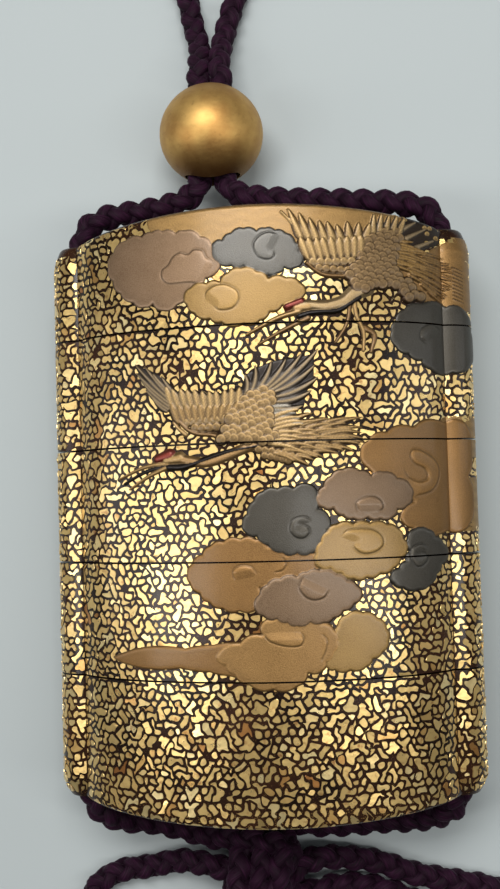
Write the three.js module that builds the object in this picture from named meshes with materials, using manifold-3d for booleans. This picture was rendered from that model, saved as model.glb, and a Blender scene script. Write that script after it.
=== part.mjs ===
// A four-case inro lying on its back, with its bead and its silk cord.
// Millimetres. X runs across the case, Y along it towards the lid, Z away from the surface it lies on.

import * as THREE from 'three';
import { mergeVertices } from 'three/addons/utils/BufferGeometryUtils.js';
import Module from 'manifold-3d';

const wasm = await Module();
wasm.setup();

// Overall size of the closed case
const overallWidth = 54;
const overallHeight = 74.4;
const overallThickness = 23;

// Sections, from the lid down
const lidHeight = 14.7;
const caseHeight = 14.2;
const caseCount = 4;
const seamGap = 0.2;

// Outline of the body
const ovalPower = 1.9;
const topDrop = 2.4;
const bottomRise = 1.7;
const endCrown = 0.5;
const rimRounding = 0.9;
const backFlatDepth = 0.1;

// Cord runners along both sides
const runnerDiameter = 7.2;
const bodyPastRunnerAxis = 1;
const runnerTopShort = 2.3;
const runnerBottomShort = 1.6;
const runnerTopTaper = 2.9;
const runnerBottomTaper = 2.2;
const mouthRim = 0.3;
const mouthFlare = 0.4;
const mouthFlareLength = 1;
const runnerClearance = 0.3;

// Walls, nested rims and floors
const skirtWall = 1;
const boreWall = 1;
const riserWall = 0.9;
const riserHeight = 3.5;
const riserClearance = 0.15;
const riserEndClearance = 0.3;
const floorThickness = 1.2;
const baseThickness = 2;
const lidTopThickness = 2;

// Raised picture
const cloudRelief = 0.35;
const craneRelief = 0.3;
const scrollWidth = 0.5;

// Bead and cord
const cordDiameter = 3.3;
const beadDiameter = 14;
const beadX = -6.2;
const beadY = 51.3;
const beadBoreClearance = 0.4;
const beadFlatDepth = 0.05;
const strandSpacing = 3.4;
const knotX = -2.5;
const knotY = -49.6;
const knotLength = 12.2;
const knotHeight = 9.6;
const touchGap = 0.3;

// Facets
const outerSegments = 44;
const innerSegments = 28;
const runnerSegments = 16;
const beadSegments = 24;
const cordSides = 8;

// Worked out from the sizes above
const halfHeight = overallHeight / 2;
const runnerRadius = runnerDiameter / 2;
const runnerX = overallWidth / 2 - runnerRadius;
const midZ = overallThickness / 2;
const cordRadius = cordDiameter / 2;
const boreRadius = cordRadius + runnerClearance;
const body = { halfWidth: runnerX + bodyPastRunnerAxis, halfDepth: midZ };
const recess = { halfWidth: runnerX - boreRadius - boreWall, halfDepth: midZ - skirtWall };
const riser = inset(recess, riserClearance);
const hollow = inset(riser, riserWall);
const firstSeamY = halfHeight - lidHeight;
const recessDepth = riserHeight + riserEndClearance;
const runnerTopY = halfHeight - runnerTopShort;
const runnerBottomY = -halfHeight + runnerBottomShort;
const farY = overallHeight;

// Colours and finishes
const lacquer = { color: 0x9a7a3c, roughness: 0.35, metalness: 0.6 };
const satinGold = { color: 0xa98233, roughness: 0.45, metalness: 0.7 };
const silk = { color: 0x35203f, roughness: 0.7, metalness: 0 };

function inset(oval, distance) {
  return { halfWidth: oval.halfWidth - distance, halfDepth: oval.halfDepth - distance };
}

// Height of a seam above the middle of the case, counted from the lid down
function seamY(index) {
  return firstSeamY - index * caseHeight;
}

// A closed geometry as a solid for joining and cutting
function solid(geometry) {
  geometry.deleteAttribute('normal');
  geometry.deleteAttribute('uv');
  const merged = mergeVertices(geometry, 1e-4);
  const corners = [];
  for (let i = 0; i < merged.index.count; i += 3) {
    const [a, b, c] = [0, 1, 2].map((k) => merged.index.getX(i + k));
    if (a !== b && b !== c && c !== a) corners.push(a, b, c);
  }
  const vertProperties = new Float32Array(merged.attributes.position.array);
  const triVerts = new Uint32Array(corners);
  return new wasm.Manifold(new wasm.Mesh({ numProp: 3, vertProperties, triVerts }));
}

function union(parts) {
  return parts.reduce((whole, part) => whole.add(part));
}

// A solid back as a named mesh
function meshOf(name, shape, finish) {
  const mesh = shape.getMesh();
  const geometry = new THREE.BufferGeometry();
  geometry.setAttribute('position', new THREE.BufferAttribute(new Float32Array(mesh.vertProperties), 3));
  geometry.setIndex(new THREE.BufferAttribute(new Uint32Array(mesh.triVerts), 1));
  const piece = new THREE.Mesh(geometry, new THREE.MeshStandardMaterial(finish));
  piece.name = name;
  return piece;
}

// How far the case's end face falls back at a distance from its middle
function endDrop(x, drop) {
  return drop * (x / body.halfWidth) ** 2;
}

// A profile turned around the case's long axis, then drawn out to an oval
// The profile's first number is a share of the oval, its second a height
function ovalSolid(oval, profile, segments, topFall = 0, bottomFall = 0) {
  const geometry = new THREE.LatheGeometry(profile.map(([share, y]) => new THREE.Vector2(share, y)), segments);
  const spot = geometry.attributes.position;
  const middle = (profile[0][1] + profile.at(-1)[1]) / 2;
  for (let i = 0; i < spot.count; i += 1) {
    const share = Math.hypot(spot.getX(i), spot.getZ(i));
    const turn = Math.atan2(spot.getZ(i), spot.getX(i));
    const across = Math.abs(Math.cos(turn)) ** (2 / ovalPower);
    const x = share * oval.halfWidth * across * Math.sign(Math.cos(turn));
    const y = spot.getY(i);
    const shift = y > middle ? -endDrop(x, topFall) : endDrop(x, bottomFall);
    spot.setXYZ(i, x, y + shift, midZ + share * oval.halfDepth * Math.sin(turn));
  }
  return solid(geometry);
}

function ovalPrism(oval, lowY, highY, topFall = 0, bottomFall = 0) {
  return ovalSolid(oval, [[0, lowY], [1, lowY], [1, highY], [0, highY]], innerSegments, topFall, bottomFall);
}

// The body's outside, with its crowned ends and rounded rims
function bodyShape(growth) {
  const oval = inset(body, -growth);
  const edge = 1 - rimRounding / oval.halfDepth;
  const round = (quarter) => {
    const angle = quarter * Math.PI / 2;
    return [edge + (1 - edge) * Math.sin(angle), rimRounding * (1 - Math.cos(angle))];
  };
  const end = [[0, 0], [edge / 2, endCrown / 4], [edge, endCrown]];
  for (const quarter of [1 / 2, 1]) {
    const [share, depth] = round(quarter);
    end.push([share, endCrown + depth]);
  }
  const top = end.map(([share, depth]) => [share, halfHeight - depth]);
  const bottom = end.map(([share, depth]) => [share, -halfHeight + depth]);
  return ovalSolid(oval, [...bottom, ...top.reverse()], outerSegments, topDrop, bottomRise);
}

// A profile of radius and height turned around an upright line
function turned(profile, x, z, segments) {
  const geometry = new THREE.LatheGeometry(profile.map(([r, y]) => new THREE.Vector2(r, y)), segments);
  geometry.translate(x, 0, z);
  return solid(geometry);
}

function runner(side) {
  const endRadius = boreRadius + mouthFlare + mouthRim;
  const midRadius = endRadius + (runnerRadius - endRadius) * 0.7;
  const profile = [
    [0, runnerBottomY],
    [endRadius, runnerBottomY],
    [runnerRadius, runnerBottomY + runnerBottomTaper],
    [runnerRadius, runnerTopY - runnerTopTaper],
    [midRadius, runnerTopY - runnerTopTaper / 3],
    [endRadius, runnerTopY],
    [0, runnerTopY],
  ];
  return turned(profile, side * runnerX, midZ, runnerSegments);
}

function runnerBore(side) {
  const flare = boreRadius + mouthFlare;
  const profile = [
    [0, -farY],
    [flare, -farY],
    [flare, runnerBottomY],
    [boreRadius, runnerBottomY + mouthFlareLength],
    [boreRadius, runnerTopY - mouthFlareLength],
    [flare, runnerTopY],
    [flare, farY],
    [0, farY],
  ];
  return turned(profile, side * runnerX, midZ, runnerSegments);
}

// Everything between two heights
function band(lowY, highY) {
  const geometry = new THREE.BoxGeometry(2 * overallWidth, highY - lowY, 2 * overallThickness);
  geometry.translate(0, (lowY + highY) / 2, overallThickness);
  return solid(geometry);
}

// An outline on the front, as a prism from the middle of the case outwards
function frontPrism(shape) {
  const geometry = new THREE.ExtrudeGeometry(shape, { depth: overallThickness, bevelEnabled: false, curveSegments: 5 });
  geometry.translate(0, 0, midZ);
  return solid(geometry);
}

function ellipse(x, y, halfLong, halfShort, angle = 0) {
  const shape = new THREE.Shape();
  shape.absellipse(x, y, halfLong, halfShort, 0, 2 * Math.PI, false, angle);
  return frontPrism(new THREE.Shape(shape.getPoints(5).slice(0, -1)));
}

// A cloud is a ring of round lobes about a flat middle, with one curled lobe cut free by a groove
const clouds = [
  { x: -10.3, y: 29.6, width: 15.8, height: 9.7, lobes: 7, curl: 0.1 },
  { x: 0.7, y: 31.1, width: 10.6, height: 5.7, lobes: 5, curl: 0.2 },
  { x: -0.9, y: 25.9, width: 14.3, height: 7.1, lobes: 6, curl: -0.1 },
  { x: 19.6, y: 20.1, width: 10, height: 8.1, lobes: 5, curl: 0.3 },
  { x: 18.4, y: 3.9, width: 13, height: 13.3, lobes: 7, curl: 0.1 },
  { x: 12.7, y: 1.7, width: 11.6, height: 6.2, lobes: 5, curl: -0.2 },
  { x: 3, y: -0.8, width: 10.1, height: 8.9, lobes: 6, curl: 0.1 },
  { x: 18.9, y: -6.3, width: 6.8, height: 7.4, lobes: 5, curl: 0.2 },
  { x: 12.2, y: -5, width: 10.9, height: 7.1, lobes: 6, curl: 0.1 },
  { x: -0.7, y: -7.3, width: 15.8, height: 8.6, lobes: 7, curl: -0.1 },
  { x: 5.9, y: -10.3, width: 12.2, height: 7.1, lobes: 6, curl: 0.2 },
  { x: 7.8, y: -16.1, width: 14.7, height: 8.5, lobes: 7, curl: 0.1 },
];
const mist = { x: -8.8, y: -18.1, width: 19.5, height: 3.2 };
const lobeShare = 0.3;

function cloud({ x, y, width, height, lobes, curl }) {
  const lobe = height * lobeShare;
  const parts = [ellipse(x, y, width / 2 - lobe / 2, height / 2 - lobe / 2)];
  for (let i = 0; i < lobes; i += 1) {
    const turn = 2 * Math.PI * (i + 0.5) / lobes;
    const lobeX = x + (width / 2 - lobe) * Math.cos(turn);
    const lobeY = y + (height / 2 - lobe) * Math.sin(turn);
    parts.push(ellipse(lobeX, lobeY, lobe, lobe));
  }
  const ring = ellipse(x + curl * width, y, lobe, lobe)
    .subtract(ellipse(x + curl * width, y, lobe - scrollWidth, lobe - scrollWidth));
  return union(parts).subtract(ring);
}

// A crane in flight: body, neck, beak, two wings of long feathers and a tail
function crane({ body: trunk, head, beakTip, wings, tail }) {
  const parts = [limb(trunk.from, trunk.to, trunk.width)];
  parts.push(limb(trunk.from, head, trunk.width * 0.35), limb(head, beakTip, trunk.width * 0.16));
  for (const wing of wings) {
    for (let i = 0; i < wing.feathers; i += 1) {
      const share = i / (wing.feathers - 1);
      const root = mix(wing.root, wing.shoulder, share);
      const tip = mix(wing.tip, wing.trailingTip, share);
      parts.push(limb(root, tip, wing.width));
    }
  }
  for (const end of tail) parts.push(limb(trunk.to, end, trunk.width * 0.4));
  return union(parts);
}

function mix(a, b, share) {
  return [a[0] + (b[0] - a[0]) * share, a[1] + (b[1] - a[1]) * share];
}

// A long leaf shape from one point to another
function limb(from, to, width) {
  const [dx, dy] = [to[0] - from[0], to[1] - from[1]];
  const angle = Math.atan2(dy, dx);
  const [x, y] = mix(from, to, 0.5);
  return ellipse(x, y, Math.hypot(dx, dy) / 2 + width / 4, width / 2, angle);
}

const cranes = [
  {
    body: { from: [-3.5, 10.6], to: [6, 9.2], width: 5 },
    head: [-11.4, 7.4],
    beakTip: [-16.8, 4.7],
    wings: [
      { root: [-3, 11.5], shoulder: [2, 11.5], tip: [-15, 18.4], trailingTip: [-5, 15.5], feathers: 4, width: 2.6 },
      { root: [0, 11.5], shoulder: [4, 11], tip: [2.5, 17.2], trailingTip: [9, 17.5], feathers: 3, width: 2.6 },
    ],
    tail: [[13, 7.6], [12.6, 9.2]],
  },
  {
    body: { from: [9, 28.6], to: [19, 27.5], width: 5 },
    head: [4.6, 25],
    beakTip: [1.4, 22.9],
    wings: [
      { root: [10, 29.5], shoulder: [14, 29.5], tip: [4, 34.9], trailingTip: [11, 34.4], feathers: 4, width: 2.4 },
      { root: [14, 29], shoulder: [18, 29], tip: [15.5, 34.4], trailingTip: [22, 33.6], feathers: 3, width: 2.6 },
    ],
    tail: [[22.5, 27], [22, 25.4]],
  },
];

// The picture's raised parts, each as high above the lacquer as its own relief
function picture() {
  const mistBand = ellipse(mist.x, mist.y, mist.width / 2, mist.height / 2);
  const cloudShapes = union([...clouds.map(cloud), mistBand]).intersect(bodyShape(cloudRelief));
  const craneShapes = union(cranes.map(crane)).intersect(bodyShape(craneRelief));
  return cloudShapes.add(craneShapes);
}

// The whole closed outside, bored through both runners and flat at the back
function outside() {
  const shell = union([bodyShape(0), runner(-1), runner(1)]);
  const bored = union([shell, picture()]).subtract(union([runnerBore(-1), runnerBore(1)]));
  const geometry = new THREE.BoxGeometry(2 * overallWidth, 2 * farY, 2 * overallThickness);
  geometry.translate(0, 0, overallThickness + backFlatDepth);
  return bored.intersect(solid(geometry)).translate([0, 0, -backFlatDepth]);
}

// The rim that stands up inside the section above, and the space in it
function risingRim(y) {
  return ovalPrism(riser, y - floorThickness, y + riserHeight);
}

function lid(shell) {
  const y = seamY(0) + seamGap / 2;
  const room = ovalPrism(hollow, y - 1, halfHeight - lidTopThickness - endCrown, topDrop);
  const seat = ovalPrism(recess, y - 1, y + recessDepth);
  return shell.intersect(band(y, farY)).subtract(seat).subtract(room);
}

function caseSection(shell, index) {
  const isLast = index === caseCount - 1;
  const highY = seamY(index) - seamGap / 2;
  const lowY = isLast ? -farY : seamY(index + 1) + seamGap / 2;
  const floorY = isLast ? -halfHeight + baseThickness + endCrown : lowY + recessDepth + floorThickness;
  const bottomFall = isLast ? bottomRise : 0;
  const outer = shell.intersect(band(lowY, highY)).add(risingRim(highY));
  const room = ovalPrism(hollow, floorY, highY + riserHeight + 1, 0, bottomFall);
  const open = outer.subtract(room);
  return isLast ? open : open.subtract(ovalPrism(recess, lowY - 1, lowY + recessDepth));
}

// The bead, bored for two strands side by side, with a small flat where it rests
function bead() {
  const radius = beadDiameter / 2;
  const geometry = new THREE.SphereGeometry(radius, beadSegments, beadSegments / 2);
  geometry.translate(beadX, beadY, radius - beadFlatDepth);
  const boreHalf = cordRadius + beadBoreClearance;
  const bore = new THREE.Shape();
  bore.absarc(strandSpacing / 2, 0, boreHalf, -Math.PI / 2, Math.PI / 2, false);
  bore.absarc(-strandSpacing / 2, 0, boreHalf, Math.PI / 2, 1.5 * Math.PI, false);
  const boreGeometry = new THREE.ExtrudeGeometry(bore, { depth: 2 * beadDiameter, bevelEnabled: false, curveSegments: 8 });
  boreGeometry.translate(0, 0, -beadDiameter);
  boreGeometry.rotateX(Math.PI / 2);
  boreGeometry.translate(beadX, beadY, radius);
  const table = new THREE.BoxGeometry(2 * beadDiameter, 2 * beadDiameter, 2 * beadDiameter);
  table.translate(beadX, beadY, beadDiameter);
  return solid(geometry).intersect(solid(table)).subtract(solid(boreGeometry));
}

// Routes of the cord, along its middle, from the knot out to the sides and back
const restZ = cordRadius + 0.05;
const strandZ = beadDiameter / 2;
const leftStrandX = beadX - strandSpacing / 2;
const rightStrandX = beadX + strandSpacing / 2;

const leftRoute = [
  [-9, -45.3, 3.4],
  [-13.4, -43.6, 3.6],
  [-17, -41.9, 5.2],
  [-20.1, -40.3, 7.7],
  [-22.4, -38.5, 10.2],
  [-runnerX, -36, midZ],
  [-runnerX, -33, midZ],
  [-runnerX, -16, midZ],
  [-runnerX, 0, midZ],
  [-runnerX, 16, midZ],
  [-runnerX, 32.5, midZ],
  [-runnerX, 35.3, midZ],
  [-22.5, 38, 11.2],
  [-20.2, 39.5, 10.4],
  [-16.8, 40.2, 9.5],
  [-13.2, 40.9, 8.6],
  [-10.3, 42, 7.8],
  [-8.2, 43.7, 7.1],
  [leftStrandX, 45.2, strandZ],
  [leftStrandX, 47, strandZ],
];

const loopRoute = [
  [leftStrandX, 47.4, strandZ],
  [leftStrandX, 51.3, strandZ],
  [leftStrandX, 57.2, strandZ],
  [-7.8, 60.8, 5.9],
  [-7.9, 64.4, 3.6],
  [-8.6, 68.4, 2.1],
  [-9.7, 72.5, restZ],
  [-12.2, 80, restZ],
  [-15.7, 90, restZ],
  [-18.8, 101, restZ],
  [-19.6, 112, restZ],
  [-17, 122.5, restZ],
  [-11.6, 129.8, restZ],
  [-5.3, 132.2, restZ],
  [0.8, 129.4, restZ],
  [6, 122, restZ],
  [8.3, 111.5, restZ],
  [7.3, 100.5, restZ],
  [3.9, 90, restZ],
  [-0.4, 80, restZ],
  [-3.5, 72.2, restZ],
  [-4.6, 68, 2.1],
  [-5.1, 64.2, 3.6],
  [-5, 60.8, 5.9],
  [rightStrandX, 57.2, strandZ],
  [rightStrandX, 51.3, strandZ],
  [rightStrandX, 47.4, strandZ],
];

const rightRoute = [
  [rightStrandX, 47, strandZ],
  [rightStrandX, 45.2, strandZ],
  [-4.1, 43.7, 7.1],
  [-2.1, 42.4, 7.6],
  [0.8, 41.7, 8],
  [5, 41.1, 8.7],
  [10, 40.8, 9.5],
  [15, 40.4, 10.2],
  [19.6, 39.6, 10.9],
  [22.3, 38, 11.3],
  [runnerX, 35.3, midZ],
  [runnerX, 32.5, midZ],
  [runnerX, 16, midZ],
  [runnerX, 0, midZ],
  [runnerX, -16, midZ],
  [runnerX, -33, midZ],
  [runnerX, -36, midZ],
  [22.4, -38.3, 10.2],
  [20.1, -39.8, 8.1],
  [17, -41, 5.9],
  [13.4, -42.2, 4.2],
  [9.4, -43.8, 3.6],
  [4.6, -45.2, 3.6],
];

const leftLoopRoute = [
  [-9.6, -49, 4.2],
  [-13.5, -47.6, 2.6],
  [-18, -47.2, restZ],
  [-22.6, -48.3, restZ],
  [-25.9, -51.4, restZ],
  [-26.2, -55.9, restZ],
  [-23.2, -59.2, restZ],
  [-18.6, -59.8, restZ],
  [-13.8, -57.4, 2.2],
  [-9.6, -54, 3.4],
];

const rightLoopRoute = [
  [4.6, -48.6, 4],
  [8.5, -47.5, 2.8],
  [13, -46.9, restZ],
  [18, -47.6, restZ],
  [23.5, -48.9, restZ],
  [29, -50.7, restZ],
  [33.6, -54.1, restZ],
  [34.8, -59.3, restZ],
  [31, -63, restZ],
  [25.8, -62.2, restZ],
  [20.2, -58.4, restZ],
  [14.8, -54.4, restZ],
  [9.4, -52.2, 2.2],
  [4.6, -53, 3.4],
];

// A plain round tube along a route
function tube(route, steps) {
  const section = new THREE.Shape();
  for (let i = 0; i < cordSides; i += 1) {
    const turn = 2 * Math.PI * (i + 0.5) / cordSides;
    const [x, y] = [cordRadius * Math.cos(turn), cordRadius * Math.sin(turn)];
    if (i === 0) section.moveTo(x, y);
    else section.lineTo(x, y);
  }
  const path = new THREE.CatmullRomCurve3(route.map((point) => new THREE.Vector3(...point)), false, 'centripetal');
  return solid(new THREE.ExtrudeGeometry(section, { steps, bevelEnabled: false, extrudePath: path }));
}

// The wrapped middle of the knot, a barrel across the cord's strands
function knot() {
  const bevel = knotHeight / 3;
  const outline = new THREE.Shape();
  const halfLength = knotLength / 2 - bevel;
  const halfWidth = strandSpacing + cordRadius - bevel / 2 - touchGap;
  outline.absarc(halfWidth, halfLength, bevel / 2, 0, Math.PI / 2);
  outline.absarc(-halfWidth, halfLength, bevel / 2, Math.PI / 2, Math.PI);
  outline.absarc(-halfWidth, -halfLength, bevel / 2, Math.PI, 1.5 * Math.PI);
  outline.absarc(halfWidth, -halfLength, bevel / 2, 1.5 * Math.PI, 2 * Math.PI);
  const geometry = new THREE.ExtrudeGeometry(outline, {
    depth: knotHeight - 2 * bevel,
    bevelThickness: bevel,
    bevelSize: bevel / 2,
    bevelSegments: 2,
    curveSegments: 3,
  });
  geometry.translate(knotX, knotY, bevel);
  return solid(geometry);
}

const inro = new THREE.Group();
const shell = outside();
inro.add(meshOf('lid', lid(shell), lacquer));
for (let i = 0; i < caseCount; i += 1) {
  inro.add(meshOf(`case_${i + 1}`, caseSection(shell, i), lacquer));
}
inro.add(meshOf('ojime_bead', bead(), satinGold));
inro.add(meshOf('cord_left', tube(leftRoute, 26), silk));
inro.add(meshOf('cord_loop', tube(loopRoute, 30), silk));
inro.add(meshOf('cord_right', tube(rightRoute, 28), silk));
inro.add(meshOf('bow_left', tube(leftLoopRoute, 9), silk));
inro.add(meshOf('bow_right', tube(rightLoopRoute, 13), silk));
inro.add(meshOf('cord_knot', knot(), silk));

export default inro;
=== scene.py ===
"""A lacquered four-case inro on its back, with its gilt bead and braided silk cord."""

from __future__ import annotations

import logging
import math
from dataclasses import dataclass, field
from enum import Enum
from typing import Callable, Protocol, Sequence

import bmesh
import bpy
import numpy as np
from mathutils import Matrix, Vector


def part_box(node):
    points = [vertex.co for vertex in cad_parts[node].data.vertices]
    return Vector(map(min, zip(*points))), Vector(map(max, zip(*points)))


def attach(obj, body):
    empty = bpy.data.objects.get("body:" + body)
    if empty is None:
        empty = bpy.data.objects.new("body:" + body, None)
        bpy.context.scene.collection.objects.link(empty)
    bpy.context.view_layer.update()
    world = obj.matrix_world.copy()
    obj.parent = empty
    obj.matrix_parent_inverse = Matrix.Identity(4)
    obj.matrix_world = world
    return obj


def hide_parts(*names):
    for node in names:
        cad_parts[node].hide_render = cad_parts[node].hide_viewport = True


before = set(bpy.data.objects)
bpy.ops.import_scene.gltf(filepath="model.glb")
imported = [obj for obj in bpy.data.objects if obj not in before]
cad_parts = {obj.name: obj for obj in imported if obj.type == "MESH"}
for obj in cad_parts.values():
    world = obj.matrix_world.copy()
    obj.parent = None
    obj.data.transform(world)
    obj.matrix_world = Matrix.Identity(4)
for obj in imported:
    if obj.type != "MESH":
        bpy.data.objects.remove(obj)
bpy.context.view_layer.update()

LOG = logging.getLogger("inro")
MM = 0.001
SECTION_NODES = ("lid", "case_1", "case_2", "case_3", "case_4")
CORD_NODES = ("cord_left", "cord_loop", "cord_right", "bow_left", "bow_right", "cord_knot")
Colour = tuple[float, float, float]
Spot = tuple[float, float, float]
Point = tuple[float, float]
Line = Sequence[Point]
Array = np.ndarray
Object = bpy.types.Object
Material = bpy.types.Material


class Tint(Enum):
    """Colours of the gold and silver powders in the picture, as linear light."""

    ROSE_BROWN = (0.275, 0.180, 0.108)
    SILVER_GREY = (0.135, 0.132, 0.122)
    BRIGHT_GOLD = (0.370, 0.235, 0.083)
    DARK_GREY = (0.078, 0.072, 0.060)
    BROWN_GOLD = (0.285, 0.155, 0.051)
    ROSE_GREY = (0.225, 0.148, 0.088)
    FEATHER_CREAM = (0.600, 0.410, 0.180)
    FEATHER_GOLD = (0.440, 0.285, 0.115)
    FEATHER_SHADE = (0.240, 0.140, 0.055)
    FEATHER_EDGE = (0.070, 0.038, 0.016)
    FEATHER_DARK = (0.028, 0.021, 0.018)
    QUILL = (0.330, 0.245, 0.140)
    CROWN_RED = (0.260, 0.045, 0.030)
    NECK_DARK = (0.013, 0.009, 0.008)


@dataclass(frozen=True)
class Wire:
    """One number or colour link in a node tree, with arithmetic."""

    sheet: "NodeSheet"
    socket: bpy.types.NodeSocket

    def __add__(self, other: "Wire | float") -> "Wire":
        """Add a number or a link."""
        return self.sheet.maths("ADD", self, other)

    def __radd__(self, other: float) -> "Wire":
        """Add this link to a number."""
        return self.sheet.maths("ADD", other, self)

    def __mul__(self, other: "Wire | float") -> "Wire":
        """Multiply by a number or a link."""
        return self.sheet.maths("MULTIPLY", self, other)

    def __rmul__(self, other: float) -> "Wire":
        """Multiply a number by this link."""
        return self.sheet.maths("MULTIPLY", other, self)


class NodeSheet:
    """The node tree of one material, built by calls."""

    def __init__(self, name: str) -> None:
        """Make an empty material of that name.

        Args:
            name: the material's name.
        """
        self.material = bpy.data.materials.new(name)
        self.material.use_nodes = True
        self.tree = self.material.node_tree
        self.tree.nodes.clear()

    def node(self, kind: str, settings: dict | None = None, inputs: dict | None = None) -> bpy.types.Node:
        """Add a node.

        Args:
            kind: the node's type name.
            settings: what is set first, with a ramp's stops under the word stops.
            inputs: values or links for its sockets, by name or number.

        Returns:
            The new node.
        """
        node = self.tree.nodes.new(kind)
        for key, value in (settings or {}).items():
            if key == "stops":
                self.set_stops(node, value)
            else:
                setattr(node, key, value)
        for key, value in (inputs or {}).items():
            socket = node.inputs[key]
            if isinstance(value, Wire):
                self.tree.links.new(value.socket, socket)
            else:
                socket.default_value = value
        return node

    @staticmethod
    def set_stops(node: bpy.types.Node, stops: Sequence[tuple[float, Colour]]) -> None:
        """Give a colour ramp its stops.

        Args:
            node: the ramp's node.
            stops: each stop's place and colour.
        """
        ramp = node.color_ramp
        while len(ramp.elements) < len(stops):
            ramp.elements.new(0.5)
        for element, (place, colour) in zip(ramp.elements, stops):
            element.position = place
            element.color = (*colour, 1.0)

    def wire(
        self, kind: str, settings: dict | None = None, inputs: dict | None = None, out: str | int = 0,
    ) -> Wire:
        """Add a node and take one of its outputs."""
        return Wire(self, self.node(kind, settings, inputs).outputs[out])

    def maths(self, operation: str, a: Wire | float, b: Wire | float = 0.0) -> Wire:
        """Add a Math node on numbers or links."""
        return self.wire("ShaderNodeMath", {"operation": operation}, {0: a, 1: b})

    def spread(self, value: Wire, low: float, high: float) -> Wire:
        """Stretch the stretch from low to high over zero to one, held at both ends."""
        inputs = {"Value": value, "From Min": low, "From Max": high}
        return self.wire("ShaderNodeMapRange", {"clamp": True}, inputs, "Result")

    def mix(self, share: Wire | float, a: Wire | Colour, b: Wire | Colour, blend: str = "MIX") -> Wire:
        """Mix two colours.

        Args:
            share: how much of the second colour shows.
            a: the first colour.
            b: the second colour.
            blend: how they mix.

        Returns:
            The mixed colour.
        """
        a = a if isinstance(a, Wire) else (*a, 1.0)
        b = b if isinstance(b, Wire) else (*b, 1.0)
        settings = {"data_type": "RGBA", "blend_type": blend, "clamp_factor": True}
        return self.wire("ShaderNodeMix", settings, {0: share, 6: a, 7: b}, 2)

    def place(self) -> Wire:
        """The point's place in the object, in metres."""
        return self.wire("ShaderNodeTexCoord", out="Object")

    def height(self) -> Wire:
        """The point's Y in the object, in metres."""
        return self.wire("ShaderNodeSeparateXYZ", None, {"Vector": self.place()}, "Y")

    def noise(self, size: float, detail: float = 2.0, stretch: Sequence[float] = (1, 1, 1)) -> Wire:
        """Soft noise with blobs of a size in millimetres.

        Args:
            size: the blobs' size in millimetres.
            detail: how many finer layers it has.
            stretch: how much longer the blobs are each way.

        Returns:
            A number about a half.
        """
        scale = [1.0 / (size * MM * part) for part in stretch]
        at = self.wire("ShaderNodeMapping", None, {"Vector": self.place(), "Scale": scale})
        return self.wire("ShaderNodeTexNoise", None, {"Vector": at, "Scale": 1.0, "Detail": detail}, "Fac")

    def attribute(self, name: str, out: str = "Color") -> Wire:
        """A colour or number stored on the mesh."""
        return self.wire("ShaderNodeAttribute", {"attribute_name": name}, None, out)

    def bump(self, height: Wire, depth: float, strength: float = 1.0) -> Wire:
        """A surface direction from a height of zero to one, that deep in millimetres."""
        inputs = {"Height": height, "Distance": depth * MM, "Strength": strength}
        return self.wire("ShaderNodeBump", None, inputs, "Normal")

    def finish(self, sockets: dict) -> Material:
        """Close the tree with one Principled shader and give back the material.

        Args:
            sockets: values or links for the shader's sockets.

        Returns:
            The material.
        """
        shader = self.node("ShaderNodeBsdfPrincipled", None, sockets)
        output = self.node("ShaderNodeOutputMaterial")
        self.tree.links.new(shader.outputs[0], output.inputs["Surface"])
        return self.material


@dataclass(frozen=True)
class LacquerGround:
    """Near-black brown lacquer, polished to a gloss, with sprinkled gold towards its ends."""

    name: str = "dark_lacquer"
    deep: Colour = (0.007, 0.0035, 0.0022)
    warm: Colour = (0.030, 0.011, 0.005)
    speck: Colour = (0.62, 0.38, 0.12)
    sprinkled_from: float = 34.5
    sprinkled_full: float = 36.8

    def build(self) -> Material:
        """Make the material.

        Returns:
            The material.
        """
        sheet = NodeSheet(self.name)
        cloudy = sheet.spread(sheet.noise(6.0, 4.0), 0.35, 0.7)
        colour = sheet.mix(cloudy, self.deep, self.warm)
        speck = sheet.spread(sheet.noise(0.16, 1.0), 0.64, 0.7)
        height = sheet.maths("ABSOLUTE", sheet.height())
        near_end = sheet.spread(height, self.sprinkled_from * MM, self.sprinkled_full * MM)
        sprinkled = speck * (0.12 + near_end * sheet.spread(sheet.noise(1.6, 2.0), 0.3, 0.62))
        colour = sheet.mix(sprinkled, colour, self.speck)
        rough = 0.16 + 0.16 * sheet.noise(3.0, 3.0) + 0.2 * sprinkled
        sockets = {"Base Color": colour, "Roughness": rough, "Metallic": sprinkled * 0.8}
        return sheet.finish({**sockets, "Specular IOR Level": 0.26})


@dataclass(frozen=True)
class GoldFlake:
    """Cut gold foil under clear lacquer, each flake with its own tone."""

    name: str = "gold_flake"
    red_gold: Colour = (0.42, 0.165, 0.045)
    warm_gold: Colour = (0.62, 0.37, 0.12)
    pale_gold: Colour = (0.80, 0.56, 0.215)
    bright: Colour = (0.92, 0.74, 0.37)

    def build(self) -> Material:
        """Make the material.

        Returns:
            The material.
        """
        sheet = NodeSheet(self.name)
        tone = sheet.attribute("tone", "Fac")
        stops = [(0.0, self.red_gold), (0.012, self.warm_gold), (0.08, self.pale_gold)]
        stops += [(0.75, self.pale_gold), (1.0, self.bright)]
        colour = sheet.wire("ShaderNodeValToRGB", {"stops": stops}, {"Fac": tone}, "Color")
        worn = sheet.spread(sheet.noise(0.6, 3.0), 0.57, 0.7)
        patchy = sheet.spread(sheet.noise(4.5, 2.0), 0.4, 0.65)
        colour = sheet.mix(worn * (0.25 + 0.6 * patchy), colour, self.red_gold)
        rough = 0.22 + 0.17 * sheet.noise(0.9, 2.0)
        crinkle = sheet.bump(sheet.noise(0.55, 2.0), 0.03, 0.6)
        sockets = {"Base Color": colour, "Roughness": rough, "Metallic": 0.82, "Normal": crinkle}
        return sheet.finish({**sockets, "Coat Weight": 0.32, "Coat Roughness": 0.17})


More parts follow.
